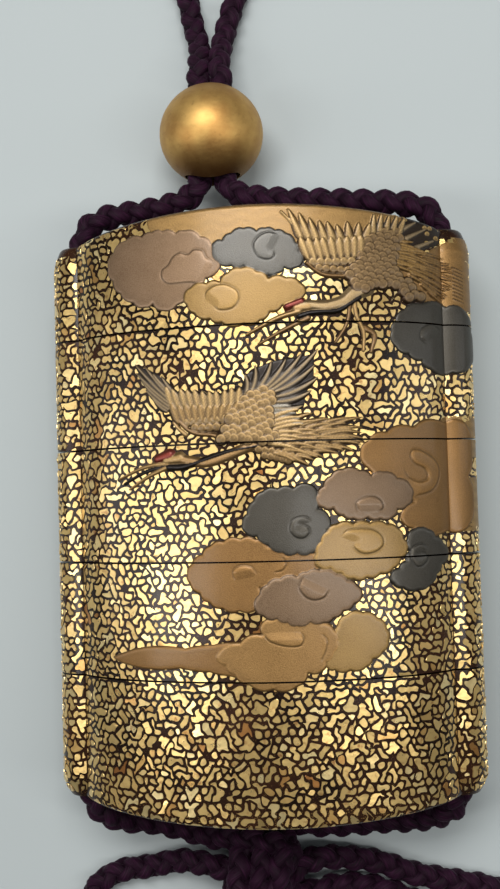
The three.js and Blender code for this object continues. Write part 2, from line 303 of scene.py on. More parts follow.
@dataclass(frozen=True)
class PowderPicture:
    """Raised powder lacquer, coloured by what it shows, with painted highlights and painted shade on its
    raised forms carried in that colour.
    """

    name: str = "powder_picture"
    shade: Colour = (0.52, 0.47, 0.40)

    def build(self) -> Material:
        """Make the material.

        Returns:
            The material.
        """
        sheet = NodeSheet(self.name)
        tint = sheet.attribute("tint")
        grain = sheet.spread(sheet.noise(0.13, 1.0), 0.3, 0.7)
        cloudy = sheet.noise(2.6, 3.0)
        share = grain * 0.55 + cloudy * 0.45
        darker = sheet.mix(1.0, tint, self.shade, "MULTIPLY")
        colour = sheet.mix(share, darker, tint)
        rough = 0.36 + 0.16 * grain + 0.08 * cloudy
        normal = sheet.bump(grain, 0.02, 0.5)
        sockets = {"Base Color": colour, "Roughness": rough, "Metallic": 0.72, "Normal": normal}
        return sheet.finish({**sockets, "Coat Weight": 0.25, "Coat Roughness": 0.2})


@dataclass(frozen=True)
class SatinGilt:
    """The bead's satin gilding with fine scratches, and shade painted in, darker and browner towards its
    ends.
    """

    name: str = "satin_gilt"
    gold: Colour = (0.70, 0.45, 0.145)
    dull: Colour = (0.40, 0.20, 0.055)
    pit: Colour = (0.20, 0.085, 0.025)
    top_painted_shade: Colour = (0.30, 0.15, 0.05)
    top_fade: Point = (54.0, 57.5)
    low_painted_shade: Colour = (0.13, 0.05, 0.016)
    low_fade: Point = (49.0, 45.5)

    def build(self) -> Material:
        """Make the material.

        Returns:
            The material.
        """
        sheet = NodeSheet(self.name)
        patch = sheet.spread(sheet.noise(3.2, 5.0), 0.36, 0.66)
        fine = sheet.noise(0.25, 3.0)
        scratch = sheet.noise(0.35, 2.0, stretch=(6, 1, 1))
        colour = sheet.mix(patch * 0.55 + fine * 0.25 + scratch * 0.25, self.dull, self.gold)
        pit = sheet.spread(sheet.noise(0.9, 4.0), 0.6, 0.75)
        colour = sheet.mix(pit * 0.35, colour, self.pit)
        # Painted shade: the colour darkens towards both ends of the bead along Y, where its round sides turn
        # away from the light.
        height = sheet.height()
        top, low = (sheet.spread(height, a * MM, b * MM) for a, b in (self.top_fade, self.low_fade))
        colour = sheet.mix(top * 0.5, colour, self.top_painted_shade)
        colour = sheet.mix(low * 0.75, colour, self.low_painted_shade)
        rough = 0.36 + 0.16 * fine + 0.12 * scratch
        normal = sheet.bump(fine * 0.6 + scratch * 0.4, 0.03, 0.6)
        return sheet.finish({"Base Color": colour, "Roughness": rough, "Metallic": 0.85, "Normal": normal})


@dataclass(frozen=True)
class PurpleSilk:
    """Dark purple braided silk, whose fine threads run along each strand, with shade painted into the hollows
    between strands and shine painted on their tops.
    """

    name: str = "purple_silk"
    shade: Colour = (0.0018, 0.0005, 0.0015)
    body: Colour = (0.0125, 0.0026, 0.0095)
    painted_shine: Colour = (0.052, 0.0115, 0.040)
    sheen: tuple[float, float, float, float] = (0.8, 0.5, 0.75, 1.0)

    def build(self) -> Material:
        """Make the material.

        Returns:
            The material.
        """
        sheet = NodeSheet(self.name)
        around = sheet.attribute("around", "Fac")
        along = sheet.attribute("along", "Fac")
        lie = sheet.wire("ShaderNodeCombineXYZ", None, {"X": around * 34.0, "Y": along * 700.0})
        thread = sheet.wire("ShaderNodeTexNoise", None, {"Vector": lie, "Scale": 1.0, "Detail": 3.0}, "Fac")
        # Painted light and shade from the mesh: shade in the hollows between strands, and painted shine along
        # the threads on each strand's top.
        height = sheet.attribute("painted_light", "Fac")
        colour = sheet.mix(height, self.shade, self.body)
        colour = sheet.mix(sheet.spread(thread, 0.45, 0.75) * height, colour, self.painted_shine)
        rough = 0.52 + 0.2 * thread
        normal = sheet.bump(thread, 0.07, 0.8)
        sockets = {"Base Color": colour, "Roughness": rough, "Normal": normal, "Specular IOR Level": 0.1}
        sheen = {"Sheen Weight": 0.05, "Sheen Roughness": 0.4, "Sheen Tint": self.sheen}
        return sheet.finish({**sockets, **sheen})


@dataclass(frozen=True)
class PaleFloor:
    """A matt pale blue-grey studio floor."""

    name: str = "pale_floor"
    pale: Colour = (0.42, 0.465, 0.475)

    def build(self) -> Material:
        """Make the material.

        Returns:
            The material.
        """
        sheet = NodeSheet(self.name)
        cloudy = sheet.noise(60.0, 2.0)
        colour = sheet.mix(cloudy, tuple(0.97 * part for part in self.pale), self.pale)
        return sheet.finish({"Base Color": colour, "Roughness": 0.75})


def link(name: str, data: bpy.types.ID) -> Object:
    """Make an object of some data and put it into the scene.

    Args:
        name: the object's name.
        data: its mesh, camera or light.

    Returns:
        The object.
    """
    made = bpy.data.objects.new(name, data)
    bpy.context.scene.collection.objects.link(made)
    return made


def make_object(name: str, corners: Array, faces: Sequence, materials: Sequence[Material]) -> Object:
    """Make a mesh object from corners in millimetres.

    Args:
        name: the object's name.
        corners: rows of X, Y and Z.
        faces: rows of corner numbers.
        materials: the object's material slots.

    Returns:
        The object, linked to the scene.
    """
    mesh = bpy.data.meshes.new(name)
    mesh.from_pydata((np.asarray(corners) * MM).tolist(), [], [list(map(int, face)) for face in faces])
    mesh.validate()
    for material in materials:
        mesh.materials.append(material)
    return link(name, mesh)


def smooth(made: Object, sharp_angle: float = 35.0) -> None:
    """Shade an object smooth but for its sharp edges."""
    made.data.shade_smooth()
    made.data.set_sharp_from_angle(angle=math.radians(sharp_angle))


@dataclass
class Oval:
    """Half sizes of an oval across and through the case."""

    half_width: float
    half_depth: float

    def smaller(self, distance: float) -> "Oval":
        """The oval drawn in by a distance all round."""
        return Oval(self.half_width - distance, self.half_depth - distance)


@dataclass
class CaseForm:
    """The closed case's measured form, shared by its sections and its picture."""

    thickness: float = 23.0
    oval_power: float = 1.9
    top_drop: float = 2.4
    bottom_rise: float = 1.7
    end_crown: float = 0.12
    rim_rounding: float = 0.6
    bottom_more: float = 0.25
    back_flat: float = 0.1
    runner_radius: float = 3.6
    body_past_axis: float = 1.0
    runner_top_short: float = 2.3
    runner_bottom_short: float = 1.6
    runner_top_taper: float = 2.9
    runner_bottom_taper: float = 2.2
    top_taper_power: float = 1.8
    bottom_taper_power: float = 1.4
    bore_radius: float = 1.95
    mouth_flare: float = 0.4
    mouth_rim: float = 0.3
    mouth_flare_length: float = 1.0
    skirt_wall: float = 1.0
    bore_wall: float = 1.0
    riser_wall: float = 0.9
    riser_height: float = 3.5
    riser_clearance: float = 0.15
    riser_end_clearance: float = 0.3
    floor_thickness: float = 1.2
    base_thickness: float = 2.0
    lid_top: float = 2.0
    runner_dress: float = 1.7
    rim_dress: float = 0.54
    fineness: int = 200
    oval_points: int = 4001
    runner_points: int = 240
    spans: list[tuple[float, float]] = field(default_factory=list)

    def __post_init__(self) -> None:
        """Read the closed case's reach and the sections' seams from the frame."""
        boxes = [[[part / MM for part in corner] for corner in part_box(node)] for node in SECTION_NODES]
        self.half_height = boxes[0][1][1]
        self.low_end = -self.half_height - self.bottom_more
        self.runner_low = -self.half_height + self.runner_bottom_short
        self.runner_high = self.half_height - self.runner_top_short
        self.mouth_radius = self.bore_radius + self.mouth_flare + self.mouth_rim
        self.runner_x = boxes[0][1][0] - self.runner_radius
        self.mid_z = (self.thickness - self.back_flat) / 2
        self.body = Oval(self.runner_x + self.body_past_axis, (self.thickness + self.back_flat) / 2)
        half_width = self.runner_x - self.bore_radius - self.bore_wall
        self.recess = Oval(half_width, self.body.half_depth - self.skirt_wall)
        self.riser = self.recess.smaller(self.riser_clearance)
        self.hollow = self.riser.smaller(self.riser_wall)
        lows = [box[0][1] for box in boxes[:-1]] + [self.low_end]
        tops = [self.half_height] + [box[1][1] - self.riser_height for box in boxes[1:]]
        self.spans = list(zip(lows, tops))
        self.trace_outline()

    def trace_outline(self) -> None:
        """Walk the outline once round, from the middle of the front to the right."""
        angle = np.linspace(0, math.pi / 2, self.oval_points)
        across = self.body.half_width * np.sin(angle) ** (2 / self.oval_power)
        deep = self.body.half_depth * np.cos(angle)
        outside = np.hypot(across - self.runner_x, deep) > self.runner_radius
        last = int(np.argmin(outside)) - 1
        join = math.atan2(deep[last], across[last] - self.runner_x)
        turn = np.linspace(join, 0, self.runner_points)
        runner = self.runner_radius * np.column_stack([np.cos(turn), np.sin(turn)]) + (self.runner_x, 0)
        quarter = np.vstack([np.column_stack([across[:last], deep[:last]]), runner])
        right = np.vstack([quarter, quarter[-2::-1] * (1, -1)])
        whole = np.vstack([right, right[-2:0:-1] * (-1, 1)])
        closed = np.vstack([whole, whole[:1]])
        step = np.hypot(*np.diff(closed, axis=0).T)
        self.walk = np.concatenate([[0], np.cumsum(step)])
        self.round_length = float(self.walk[-1])
        self.outline = closed
        ahead = np.roll(whole, -1, axis=0) - np.roll(whole, 1, axis=0)
        out = np.column_stack([-ahead[:, 1], ahead[:, 0]])
        out /= np.linalg.norm(out, axis=1)[:, None]
        self.outward = np.vstack([out, out[:1]])
        self.groove_walk = float(self.walk[last])
        self.groove_x = float(closed[last, 0])
        self.side_walk = float(self.walk[len(quarter) - 1])

    def on_surface(self, along: Array, y: Array, lift: Array) -> Array:
        """Wrap flat points round the outline.

        Args:
            along: walk round the outline from the middle of the front.
            y: height along the case.
            lift: height over the surface.

        Returns:
            Rows of X, Y and Z.
        """
        place = np.mod(along, self.round_length)
        flat = [np.interp(place, self.walk, self.outline[:, k]) for k in (0, 1)]
        out = [np.interp(place, self.walk, self.outward[:, k]) for k in (0, 1)]
        size = np.hypot(*out)
        bottom, top = self.wall_ends(flat[0])
        past = np.maximum(np.maximum(bottom - y, y - top), 0)
        on_runner = np.abs(flat[0]) > self.groove_x
        edge = self.rim_rounding / self.body.half_depth
        drawn = 1 - edge * (1 - np.sqrt(np.clip(1 - (past / self.rim_rounding) ** 2, 0, 1)))
        centre = np.where(on_runner, np.sign(flat[0]) * self.runner_x, 0.0)
        drawn = np.where(on_runner, self.taper_share(past, y > 0), drawn)
        x = centre + (flat[0] - centre) * drawn + lift * out[0] / size
        z = self.mid_z + flat[1] * drawn + lift * out[1] / size
        return np.column_stack([x, y, np.maximum(z, 0.0)])

    def taper_share(self, past: Array, upper: Array) -> Array:
        """How much a runner's radius is left at a distance past its straight wall.

        Args:
            past: the distance past the straight wall.
            upper: where the upper end is meant.

        Returns:
            Shares of the runner's radius.
        """
        top_part = np.clip(1 - past / self.runner_top_taper, 0, 1) ** (1 / self.top_taper_power)
        bottom_part = np.clip(1 - past / self.runner_bottom_taper, 0, 1) ** (1 / self.bottom_taper_power)
        end, part = self.mouth_radius, np.where(upper, top_part, bottom_part)
        return (end + (self.runner_radius - end) * part) / self.runner_radius

    def dressed_ends(self, x: Array) -> tuple[Array, Array]:
        """How far the decoration reaches over the rounded rims at a distance across.

        Args:
            x: distances across the case.

        Returns:
            The lowest and highest Y.
        """
        bottom, top = self.wall_ends(x)
        more = np.where(np.abs(x) > self.groove_x, self.runner_dress, self.rim_dress)
        return bottom - more, top + more

    def across(self, along: Array) -> Array:
        """The distance across the case of a walk round the outline."""
        return np.interp(np.mod(along, self.round_length), self.walk, self.outline[:, 0])

    def wall_ends(self, x: Array) -> tuple[Array, Array]:
        """The lowest and highest Y of the straight wall at a distance across.

        Args:
            x: distances across the case.

        Returns:
            The lowest and highest Y.
        """
        bow = (x / self.body.half_width) ** 2
        edge = self.end_crown + self.rim_rounding
        low = self.low_end + edge + self.bottom_rise * bow
        high = self.half_height - edge - self.top_drop * bow
        on_runner = np.abs(x) > self.groove_x
        low = np.where(on_runner, self.runner_low + self.runner_bottom_taper, low)
        return low, np.where(on_runner, self.runner_high - self.runner_top_taper, high)


@dataclass
class Solids:
    """Fine closed solids and the cuts between them."""

    form: CaseForm
    axis: float = 0.05

    def lathe(self, name: str, profile: Line, count: int, place: Callable) -> Object:
        """Turn a profile round the Y axis and put each point through place.

        Args:
            name: the object's name.
            profile: each ring's share or radius, and its height.
            count: how many corners a ring has.
            place: puts a ring's shares, turns and heights in space.

        Returns:
            The closed solid.
        """
        rings = []
        for share, y in profile:
            turn = np.arange(count) * 2 * math.pi / count
            rings.append(place(np.full(count, share), turn, np.full(count, y)))
        corners = np.vstack(rings)
        faces = []
        for ring in range(len(profile) - 1):
            for k in range(count):
                a, b = ring * count + k, ring * count + (k + 1) % count
                faces.append((a, a + count, b + count, b))
        faces.append(tuple(range(count)))
        faces.append(tuple(range(len(corners) - 1, len(corners) - count - 1, -1)))
        return make_object(name, corners, faces, [])

    def oval_place(self, oval: Oval, top_fall: float, bottom_fall: float, middle: float) -> Callable:
        """The placing of lathe points on an oval with bowed ends.

        Args:
            oval: the oval's half sizes.
            top_fall: how far the top end bows down at its sides.
            bottom_fall: how far the bottom end bows up.
            middle: the height that parts the two ends.

        Returns:
            The placing, for lathe.
        """
        form = self.form

        def place(share: Array, turn: Array, y: Array) -> Array:
            """Put points on the oval.

            Args:
                share: shares of the oval's size.
                turn: turns about its middle.
                y: heights.

            Returns:
                Rows of X, Y and Z.
            """
            across = np.sign(np.cos(turn)) * np.abs(np.cos(turn)) ** (2 / form.oval_power)
            x = share * oval.half_width * across
            bow = (x / form.body.half_width) ** 2
            fall = np.where(y > middle, -top_fall * bow, bottom_fall * bow)
            return np.column_stack([x, y + fall, form.mid_z + share * oval.half_depth * np.sin(turn)])

        return place

    def prism(
        self, oval: Oval, low: float, high: float, top_fall: float = 0.0, bottom_fall: float = 0.0,
    ) -> Object:
        """An oval block between two heights, with flat or bowed ends.

        Args:
            oval: its half sizes.
            low: its lower end.
            high: its upper end.
            top_fall: how far the top bows down at its sides.
            bottom_fall: how far the bottom bows up.

        Returns:
            The closed solid.
        """
        shares = [0.02, 0.35, 0.7, 1.0]
        profile = [(share, low) for share in shares] + [(share, high) for share in reversed(shares)]
        place = self.oval_place(oval, top_fall, bottom_fall, (low + high) / 2)
        return self.lathe("prism", profile, self.form.fineness, place)

    def body(self) -> Object:
        """The closed body with crowned ends and rounded rims.

        Returns:
            The closed solid.
        """
        form = self.form
        edge = 1 - form.rim_rounding / form.body.half_depth
        end = [(0.02, 0.0)]
        end += [(share * edge, form.end_crown * share**2) for share in (0.3, 0.65, 1.0)]
        for quarter in np.linspace(0.2, 1.0, 5):
            turn = quarter * math.pi / 2
            depth = form.end_crown + form.rim_rounding * (1 - math.cos(turn))
            end.append((edge + (1 - edge) * math.sin(turn), depth))
        top = [(share, form.half_height - depth) for share, depth in end]
        bottom = [(share, form.low_end + depth) for share, depth in end]
        place = self.oval_place(form.body, form.top_drop, form.bottom_rise, 0.0)
        return self.lathe("body", bottom + top[::-1], form.fineness, place)

    def upright(self, name: str, profile: Line, x: float, count: int = 64) -> Object:
        """A round solid about an upright line at a distance across.

        Args:
            name: the object's name.
            profile: radii and heights.
            x: the line's distance across.
            count: how many corners a ring has.

        Returns:
            The closed solid.
        """
        form = self.form

        def place(radius: Array, turn: Array, y: Array) -> Array:
            """Put points on the round."""
            return np.column_stack([x + radius * np.cos(turn), y, form.mid_z + radius * np.sin(turn)])

        return self.lathe(name, profile, count, place)

    def runner(self, side: int) -> Object:
        """One cord runner, with its tapered ends.

        Args:
            side: 1 for the right, -1 for the left.

        Returns:
            The closed solid.
        """
        form = self.form
        low, high, end = form.runner_low, form.runner_high, form.mouth_radius
        rise = form.runner_radius - end
        profile = [(self.axis, low), (end, low)]
        for part in (0.35, 0.7, 1.0):
            height = low + form.runner_bottom_taper * part**form.bottom_taper_power
            profile.append((end + rise * part, height))
        for part in (1.0, 0.75, 0.5, 0.25):
            profile.append((end + rise * part, high - form.runner_top_taper * part**form.top_taper_power))
        profile += [(end, high), (self.axis, high)]
        return self.upright("runner", profile, side * form.runner_x)

    def bore(self, side: int) -> Object:
        """The passage through one runner, flared at both mouths.

        Args:
            side: 1 for the right, -1 for the left.

        Returns:
            The closed solid.
        """
        form = self.form
        low, high, ease = form.runner_low, form.runner_high, form.mouth_flare_length
        flare, radius, far = form.bore_radius + form.mouth_flare, form.bore_radius, 2 * form.half_height
        profile = [(self.axis, -far), (flare, -far), (flare, low), (radius, low + ease)]
        profile += [(radius, high - ease), (flare, high), (flare, far), (self.axis, far)]
        return self.upright("bore", profile, side * form.runner_x)

    def slab(self, low: float, high: float) -> Object:
        """A block of everything above the table between two heights.

        Args:
            low: its lower end.
            high: its upper end.

        Returns:
            The closed solid.
        """
        wide, deep = 2 * self.form.runner_x, 2 * self.form.thickness
        corners = [(x, y, z) for x in (-wide, wide) for y in (low, high) for z in (0.0, deep)]
        faces = [(0, 1, 3, 2), (4, 6, 7, 5), (0, 4, 5, 1), (2, 3, 7, 6), (0, 2, 6, 4), (1, 5, 7, 3)]
        return make_object("slab", np.array(corners), faces, [])

    @staticmethod
    def combine(base: Object, tools: Sequence[Object], how: str) -> Object:
        """Join, cut or meet a solid with others, which are used up.

        Args:
            base: the solid that is changed.
            tools: the others.
            how: UNION, DIFFERENCE or INTERSECT.

        Returns:
            The changed solid.
        """
        for tool in tools:
            change = base.modifiers.new("combine", "BOOLEAN")
            change.operation = how
            change.solver = "MANIFOLD"
            change.object = tool
        bpy.context.view_layer.update()
        graph = bpy.context.evaluated_depsgraph_get()
        mesh = bpy.data.meshes.new_from_object(base.evaluated_get(graph))
        old = base.data
        base.modifiers.clear()
        base.data = mesh
        bpy.data.meshes.remove(old)
        for tool in tools:
            Solids.discard(tool)
        return base

    @staticmethod
    def discard(made: Object) -> None:
        """Remove an object with its mesh.

        Args:
            made: the object.
        """
        spare = made.data
        bpy.data.objects.remove(made)
        bpy.data.meshes.remove(spare)

    @staticmethod
    def copy(made: Object) -> Object:
        """A second object with its own mesh."""
        return link(made.name, made.data.copy())


@dataclass
class NestedCases:
    """The lid and the four cases, hollow, with their rising rims."""

    form: CaseForm
    lacquer: Material

    def build(self) -> list[Object]:
        """Make every section and let it stand for its solid.

        Returns:
            The sections, from the lid down.
        """
        tools = Solids(self.form)
        shell = tools.combine(tools.body(), [tools.runner(-1), tools.runner(1)], "UNION")
        shell = tools.combine(shell, [tools.bore(-1), tools.bore(1)], "DIFFERENCE")
        made = []
        for index, node in enumerate(SECTION_NODES):
            piece = self.section(tools, tools.copy(shell), index)
            piece.name = f"{node}_shell"
            piece.data.name = piece.name
            piece.data.materials.clear()
            piece.data.materials.append(self.lacquer)
            smooth(piece)
            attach(piece, "root")
            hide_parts(node)
            made.append(piece)
        tools.discard(shell)
        return made

    def section(self, tools: Solids, piece: Object, index: int) -> Object:
        """Cut one section from the closed outside and hollow it.

        Args:
            tools: the maker of solids.
            piece: a copy of the closed outside.
            index: the section's number from the lid.

        Returns:
            The section.
        """
        form = self.form
        low, high = form.spans[index]
        is_lid, is_last = index == 0, index == len(SECTION_NODES) - 1
        far = 2 * form.half_height
        slab = tools.slab(-far if is_last else low, far if is_lid else high)
        piece = tools.combine(piece, [slab], "INTERSECT")
        seat_depth = form.riser_height + form.riser_end_clearance
        cuts = []
        if is_lid:
            ceiling = form.half_height - form.lid_top - form.end_crown
            cuts.append(tools.prism(form.hollow, low - 1, ceiling, form.top_drop))
        else:
            floor = low + seat_depth + form.floor_thickness
            if is_last:
                floor = -form.half_height + form.base_thickness + form.end_crown
            rim = tools.prism(form.riser, high - form.floor_thickness, high + form.riser_height)
            piece = tools.combine(piece, [rim], "UNION")
            bottom_fall = form.bottom_rise if is_last else 0.0
            cuts.append(tools.prism(form.hollow, floor, high + form.riser_height + 1, 0.0, bottom_fall))
        if not is_last:
            cuts.append(tools.prism(form.recess, low - 1, low + seat_depth))
        return tools.combine(piece, cuts, "DIFFERENCE")


@dataclass
class ReliefPatch:
    """A part of the picture's field, sharing its memory."""

    x: Array
    y: Array
    height: Array
    tint: Array
    blend: float = 0.02

    def lay(self, height: Array, tint: Array | Colour) -> None:
        """Lay a shape on the field wherever it stands higher than what is there.

        Args:
            height: the shape's heights.
            tint: its colours.
        """
        share = np.clip((height - self.height) / self.blend + 0.5, 0, 1)[..., None]
        self.tint += (np.asarray(tint, float) - self.tint) * share
        np.maximum(self.height, height, out=self.height)


@dataclass
class ReliefSheet:
    """The raised picture as one field of heights and colours over the front."""

    form: CaseForm
    step: float = 0.1
    outside: float = -0.3
    side_share: float = 0.98

    def __post_init__(self) -> None:
        """Lay out the field's points."""
        reach = self.form.side_walk * self.side_share
        self.along = np.arange(-reach, reach, self.step)
        self.rows = np.arange(self.form.low_end, self.form.half_height, self.step)
        walk, height = np.meshgrid(self.along, self.rows)
        self.x = self.form.across(walk)
        self.y = height
        self.height = np.full(self.x.shape, self.outside)
        self.tint = np.zeros((*self.x.shape, 3))

    def patch(self, points: Line, margin: float) -> ReliefPatch:
        """The part of the field round some points, with a margin.

        Args:
            points: the points.
            margin: how far past them it reaches.

        Returns:
            A view of that part.
        """
        spots = np.array(points, float)
        low, high = spots.min(axis=0) - margin, spots.max(axis=0) + margin
        left, right = np.searchsorted(self.x[0], (low[0], high[0]))
        bottom, top = np.searchsorted(self.rows, (low[1], high[1]))
        part = (slice(bottom, top), slice(left, right))
        return ReliefPatch(self.x[part], self.y[part], self.height[part], self.tint[part])

    def height_at(self, along: Array, y: Array) -> Array:
        """The field's height near given points, far below the surface beyond it.

        Args:
            along: walks round the outline.
            y: heights along the case.

        Returns:
            The field's heights.
        """
        length = self.form.round_length
        place = np.mod(along + length / 2, length) - length / 2
        column = np.round((place - self.along[0]) / self.step).astype(int)
        row = np.round((y - self.rows[0]) / self.step).astype(int)
        inside = (column >= 0) & (column < len(self.along)) & (row >= 0) & (row < len(self.rows))
        found = self.height[np.clip(row, 0, len(self.rows) - 1), np.clip(column, 0, len(self.along) - 1)]
        return np.where(inside, found, self.outside)

    def piece(self, name: str, low: float, high: float, material: Material) -> Object | None:
        """Make the mesh of the picture's part between two heights.

        Args:
            name: the object's name.
            low: the lower height.
            high: the upper height.
            material: its finish.

        Returns:
            The object, or None where nothing is raised.
        """
        rows = self.rows[(self.rows > low + self.step / 3) & (self.rows < high - self.step / 3)]
        rows = np.concatenate([[low], rows, [high]])
        walk, y = np.meshgrid(self.along, rows)
        column = np.broadcast_to(np.arange(len(self.along)), walk.shape)
        place = np.clip((y - self.rows[0]) / self.step, 0, len(self.rows) - 1.001)
        base = place.astype(int)
        share = place - base
        upper = np.minimum(base + 1, len(self.rows) - 1)
        lift = self.height[base, column] * (1 - share) + self.height[upper, column] * share
        tint = self.tint[np.where(share > 0.5, upper, base), column]
        bottom, top = self.form.dressed_ends(self.form.across(walk))
        shown = (lift > -0.1) & (y >= bottom - self.step) & (y <= top + self.step)
        y = np.clip(y, bottom, top)
        keep = shown[:-1, :-1] | shown[1:, :-1] | shown[:-1, 1:] | shown[1:, 1:]
        if not keep.any():
            return None
        number = np.arange(walk.size).reshape(walk.shape)
        quads = np.stack([number[:-1, :-1], number[:-1, 1:], number[1:, 1:], number[1:, :-1]], axis=-1)[keep]
        used, faces = np.unique(quads, return_inverse=True)
        corners = self.form.on_surface(walk.ravel()[used], y.ravel()[used], lift.ravel()[used])
        made = make_object(name, corners, faces.reshape(-1, 4), [material])
        colours = made.data.color_attributes.new("tint", "FLOAT_COLOR", "POINT")
        flat = np.column_stack([tint.reshape(-1, 3)[used], np.ones(len(used))])
        colours.data.foreach_set("color", flat.ravel())
        made.data.shade_smooth()
        return made


def curve(points: Line, closed: bool, parts: int = 5) -> Array:
    """A smooth line through points.

    Args:
        points: the points in order.
        closed: whether the line comes back to its start.
        parts: how many pieces lie between two points.

    Returns:
        The line's points.
    """
    spots = np.array(points, float)
    if closed:
        spots = np.vstack([spots[-1:], spots, spots[:2]])
    else:
        spots = np.vstack([2 * spots[0] - spots[1], spots, 2 * spots[-1] - spots[-2]])
    t = np.linspace(0, 1, parts, endpoint=False)[:, None]
    fine = []
    for a, b, c, d in zip(spots, spots[1:], spots[2:], spots[3:]):
        square, cube = (2 * a - 5 * b + 4 * c - d) * t**2, (3 * b - a - 3 * c + d) * t**3
        fine.append(0.5 * (2 * b + (c - a) * t + square + cube))
    if not closed:
        fine.append(spots[-2:-1])
    return np.vstack(fine)


def scallops(points: Line, bulge: float, parts: int = 5) -> Array:
    """A closed outline of small outward arcs that meet in notches.

    Args:
        points: the notches in order.
        bulge: how far an arc stands out, as a share of its chord.
        parts: how many pieces make an arc.

    Returns:
        The outline's points.
    """
    spots = np.array(points, float)
    after = np.roll(spots, -1, axis=0)
    turn = np.sign(np.sum(spots[:, 0] * after[:, 1] - after[:, 0] * spots[:, 1]))
    way = after - spots
    out = np.column_stack([way[:, 1], -way[:, 0]]) * turn
    t = np.linspace(0, 1, parts, endpoint=False)
    arch = bulge * 4 * t * (1 - t)
    fine = spots[:, None] + t[None, :, None] * way[:, None] + arch[None, :, None] * out[:, None]
    return fine.reshape(-1, 2)


def line_distance(x: Array, y: Array, line: Array) -> tuple[Array, Array]:
    """The distance from each point to a line, and how far along it the nearest place is.

    Args:
        x: the points' X.
        y: the points' Y.
        line: the line's points.

    Returns:
        Distances, and shares of the line's length.
    """
    walk = np.concatenate([[0], np.cumsum(np.hypot(*np.diff(line, axis=0).T))])
    best = np.full(x.shape, 1e9)
    along = np.zeros(x.shape)
    for k in range(len(line) - 1):
        way = line[k + 1] - line[k]
        ahead = (x - line[k, 0]) * way[0] + (y - line[k, 1]) * way[1]
        t = np.clip(ahead / max(float(way @ way), 1e-9), 0, 1)
        away = np.hypot(x - line[k, 0] - t * way[0], y - line[k, 1] - t * way[1])
        nearer = away < best
        best[nearer] = away[nearer]
        along[nearer] = (walk[k] + t[nearer] * (walk[k + 1] - walk[k])) / walk[-1]
    return best, along


def inside_distance(x: Array, y: Array, outline: Array) -> Array:
    """The distance to a closed outline, positive inside it.

    Args:
        x: the points' X.
        y: the points' Y.
        outline: the outline's points.

    Returns:
        Distances, below zero outside.
    """
    ring = np.vstack([outline, outline[:1]])
    away, _ = line_distance(x, y, ring)
    odd = np.zeros(x.shape, bool)
    for a, b in zip(ring, ring[1:]):
        crosses = (a[1] > y) != (b[1] > y)
        rise = b[1] - a[1] if b[1] != a[1] else 1e-9
        odd ^= crosses & (x < a[0] + (y - a[1]) / rise * (b[0] - a[0]))
    return np.where(odd, away, -away)


class Shape(Protocol):
    """Anything that can be laid on the picture."""

    def draw(self, sheet: ReliefSheet) -> None:
        """Lay the shape on the picture's field."""


@dataclass(frozen=True)
class Cloud:
    """One flat curling cloud with a lobed outline and raised curls."""

    outline: Line
    curls: Sequence[Line]
    tint: Colour
    level: float
    thickness: float = 0.14
    slope: float = 0.13
    bulge: float = 0.17

    def draw(self, sheet: ReliefSheet) -> None:
        """Lay the cloud on the picture.

        Args:
            sheet: the picture's field.
        """
        patch = sheet.patch(self.outline, 0.5)
        inside = inside_distance(patch.x, patch.y, scallops(self.outline, self.bulge))
        rise = 1 - np.exp(-np.maximum(inside, 0) / self.slope)
        height = np.where(inside > 0, self.level + self.thickness * rise, self.level + 2.4 * inside)
        # Painted light and shade along the outline: painted shade at the outline's step, a painted highlight
        # in a band just inside it, and a little painted shade further in.
        light = 1 + 0.3 * np.exp(-(((inside - 0.28) / 0.16) ** 2))
        light = light - 0.45 * np.exp(-np.maximum(inside, 0) / 0.1)
        light = light - 0.12 * np.exp(-np.maximum(inside - 0.5, 0) / 0.6)
        for points in self.curls:
            line = curve(points, False)
            away, along = line_distance(patch.x, patch.y, line)
            opening, _ = line_distance(patch.x, patch.y, line[[0, -1]])
            within = (inside_distance(patch.x, patch.y, line) > 0) * np.clip(opening / 0.9, 0, 1)
            fade = np.clip(along / 0.08, 0, 1) * np.clip((1 - along) / 0.08, 0, 1)
            dome = within * (1 - np.exp(-away / 0.16))
            # Painted shade in each curl's groove, a painted highlight on its raised side, and a little
            # painted highlight on the swelling inside the curl.
            shaded_groove = np.exp(-((away / 0.09) ** 2)) * fade
            edge = within * np.exp(-(((away - 0.26) / 0.14) ** 2)) * fade
            height = np.where(inside > 0.12, height - 0.045 * shaded_groove + 0.1 * dome, height)
            light = light - 0.34 * shaded_groove + 0.24 * edge + 0.08 * dome
        patch.lay(height, np.array(self.tint) * np.clip(light, 0.2, 1.7)[..., None])


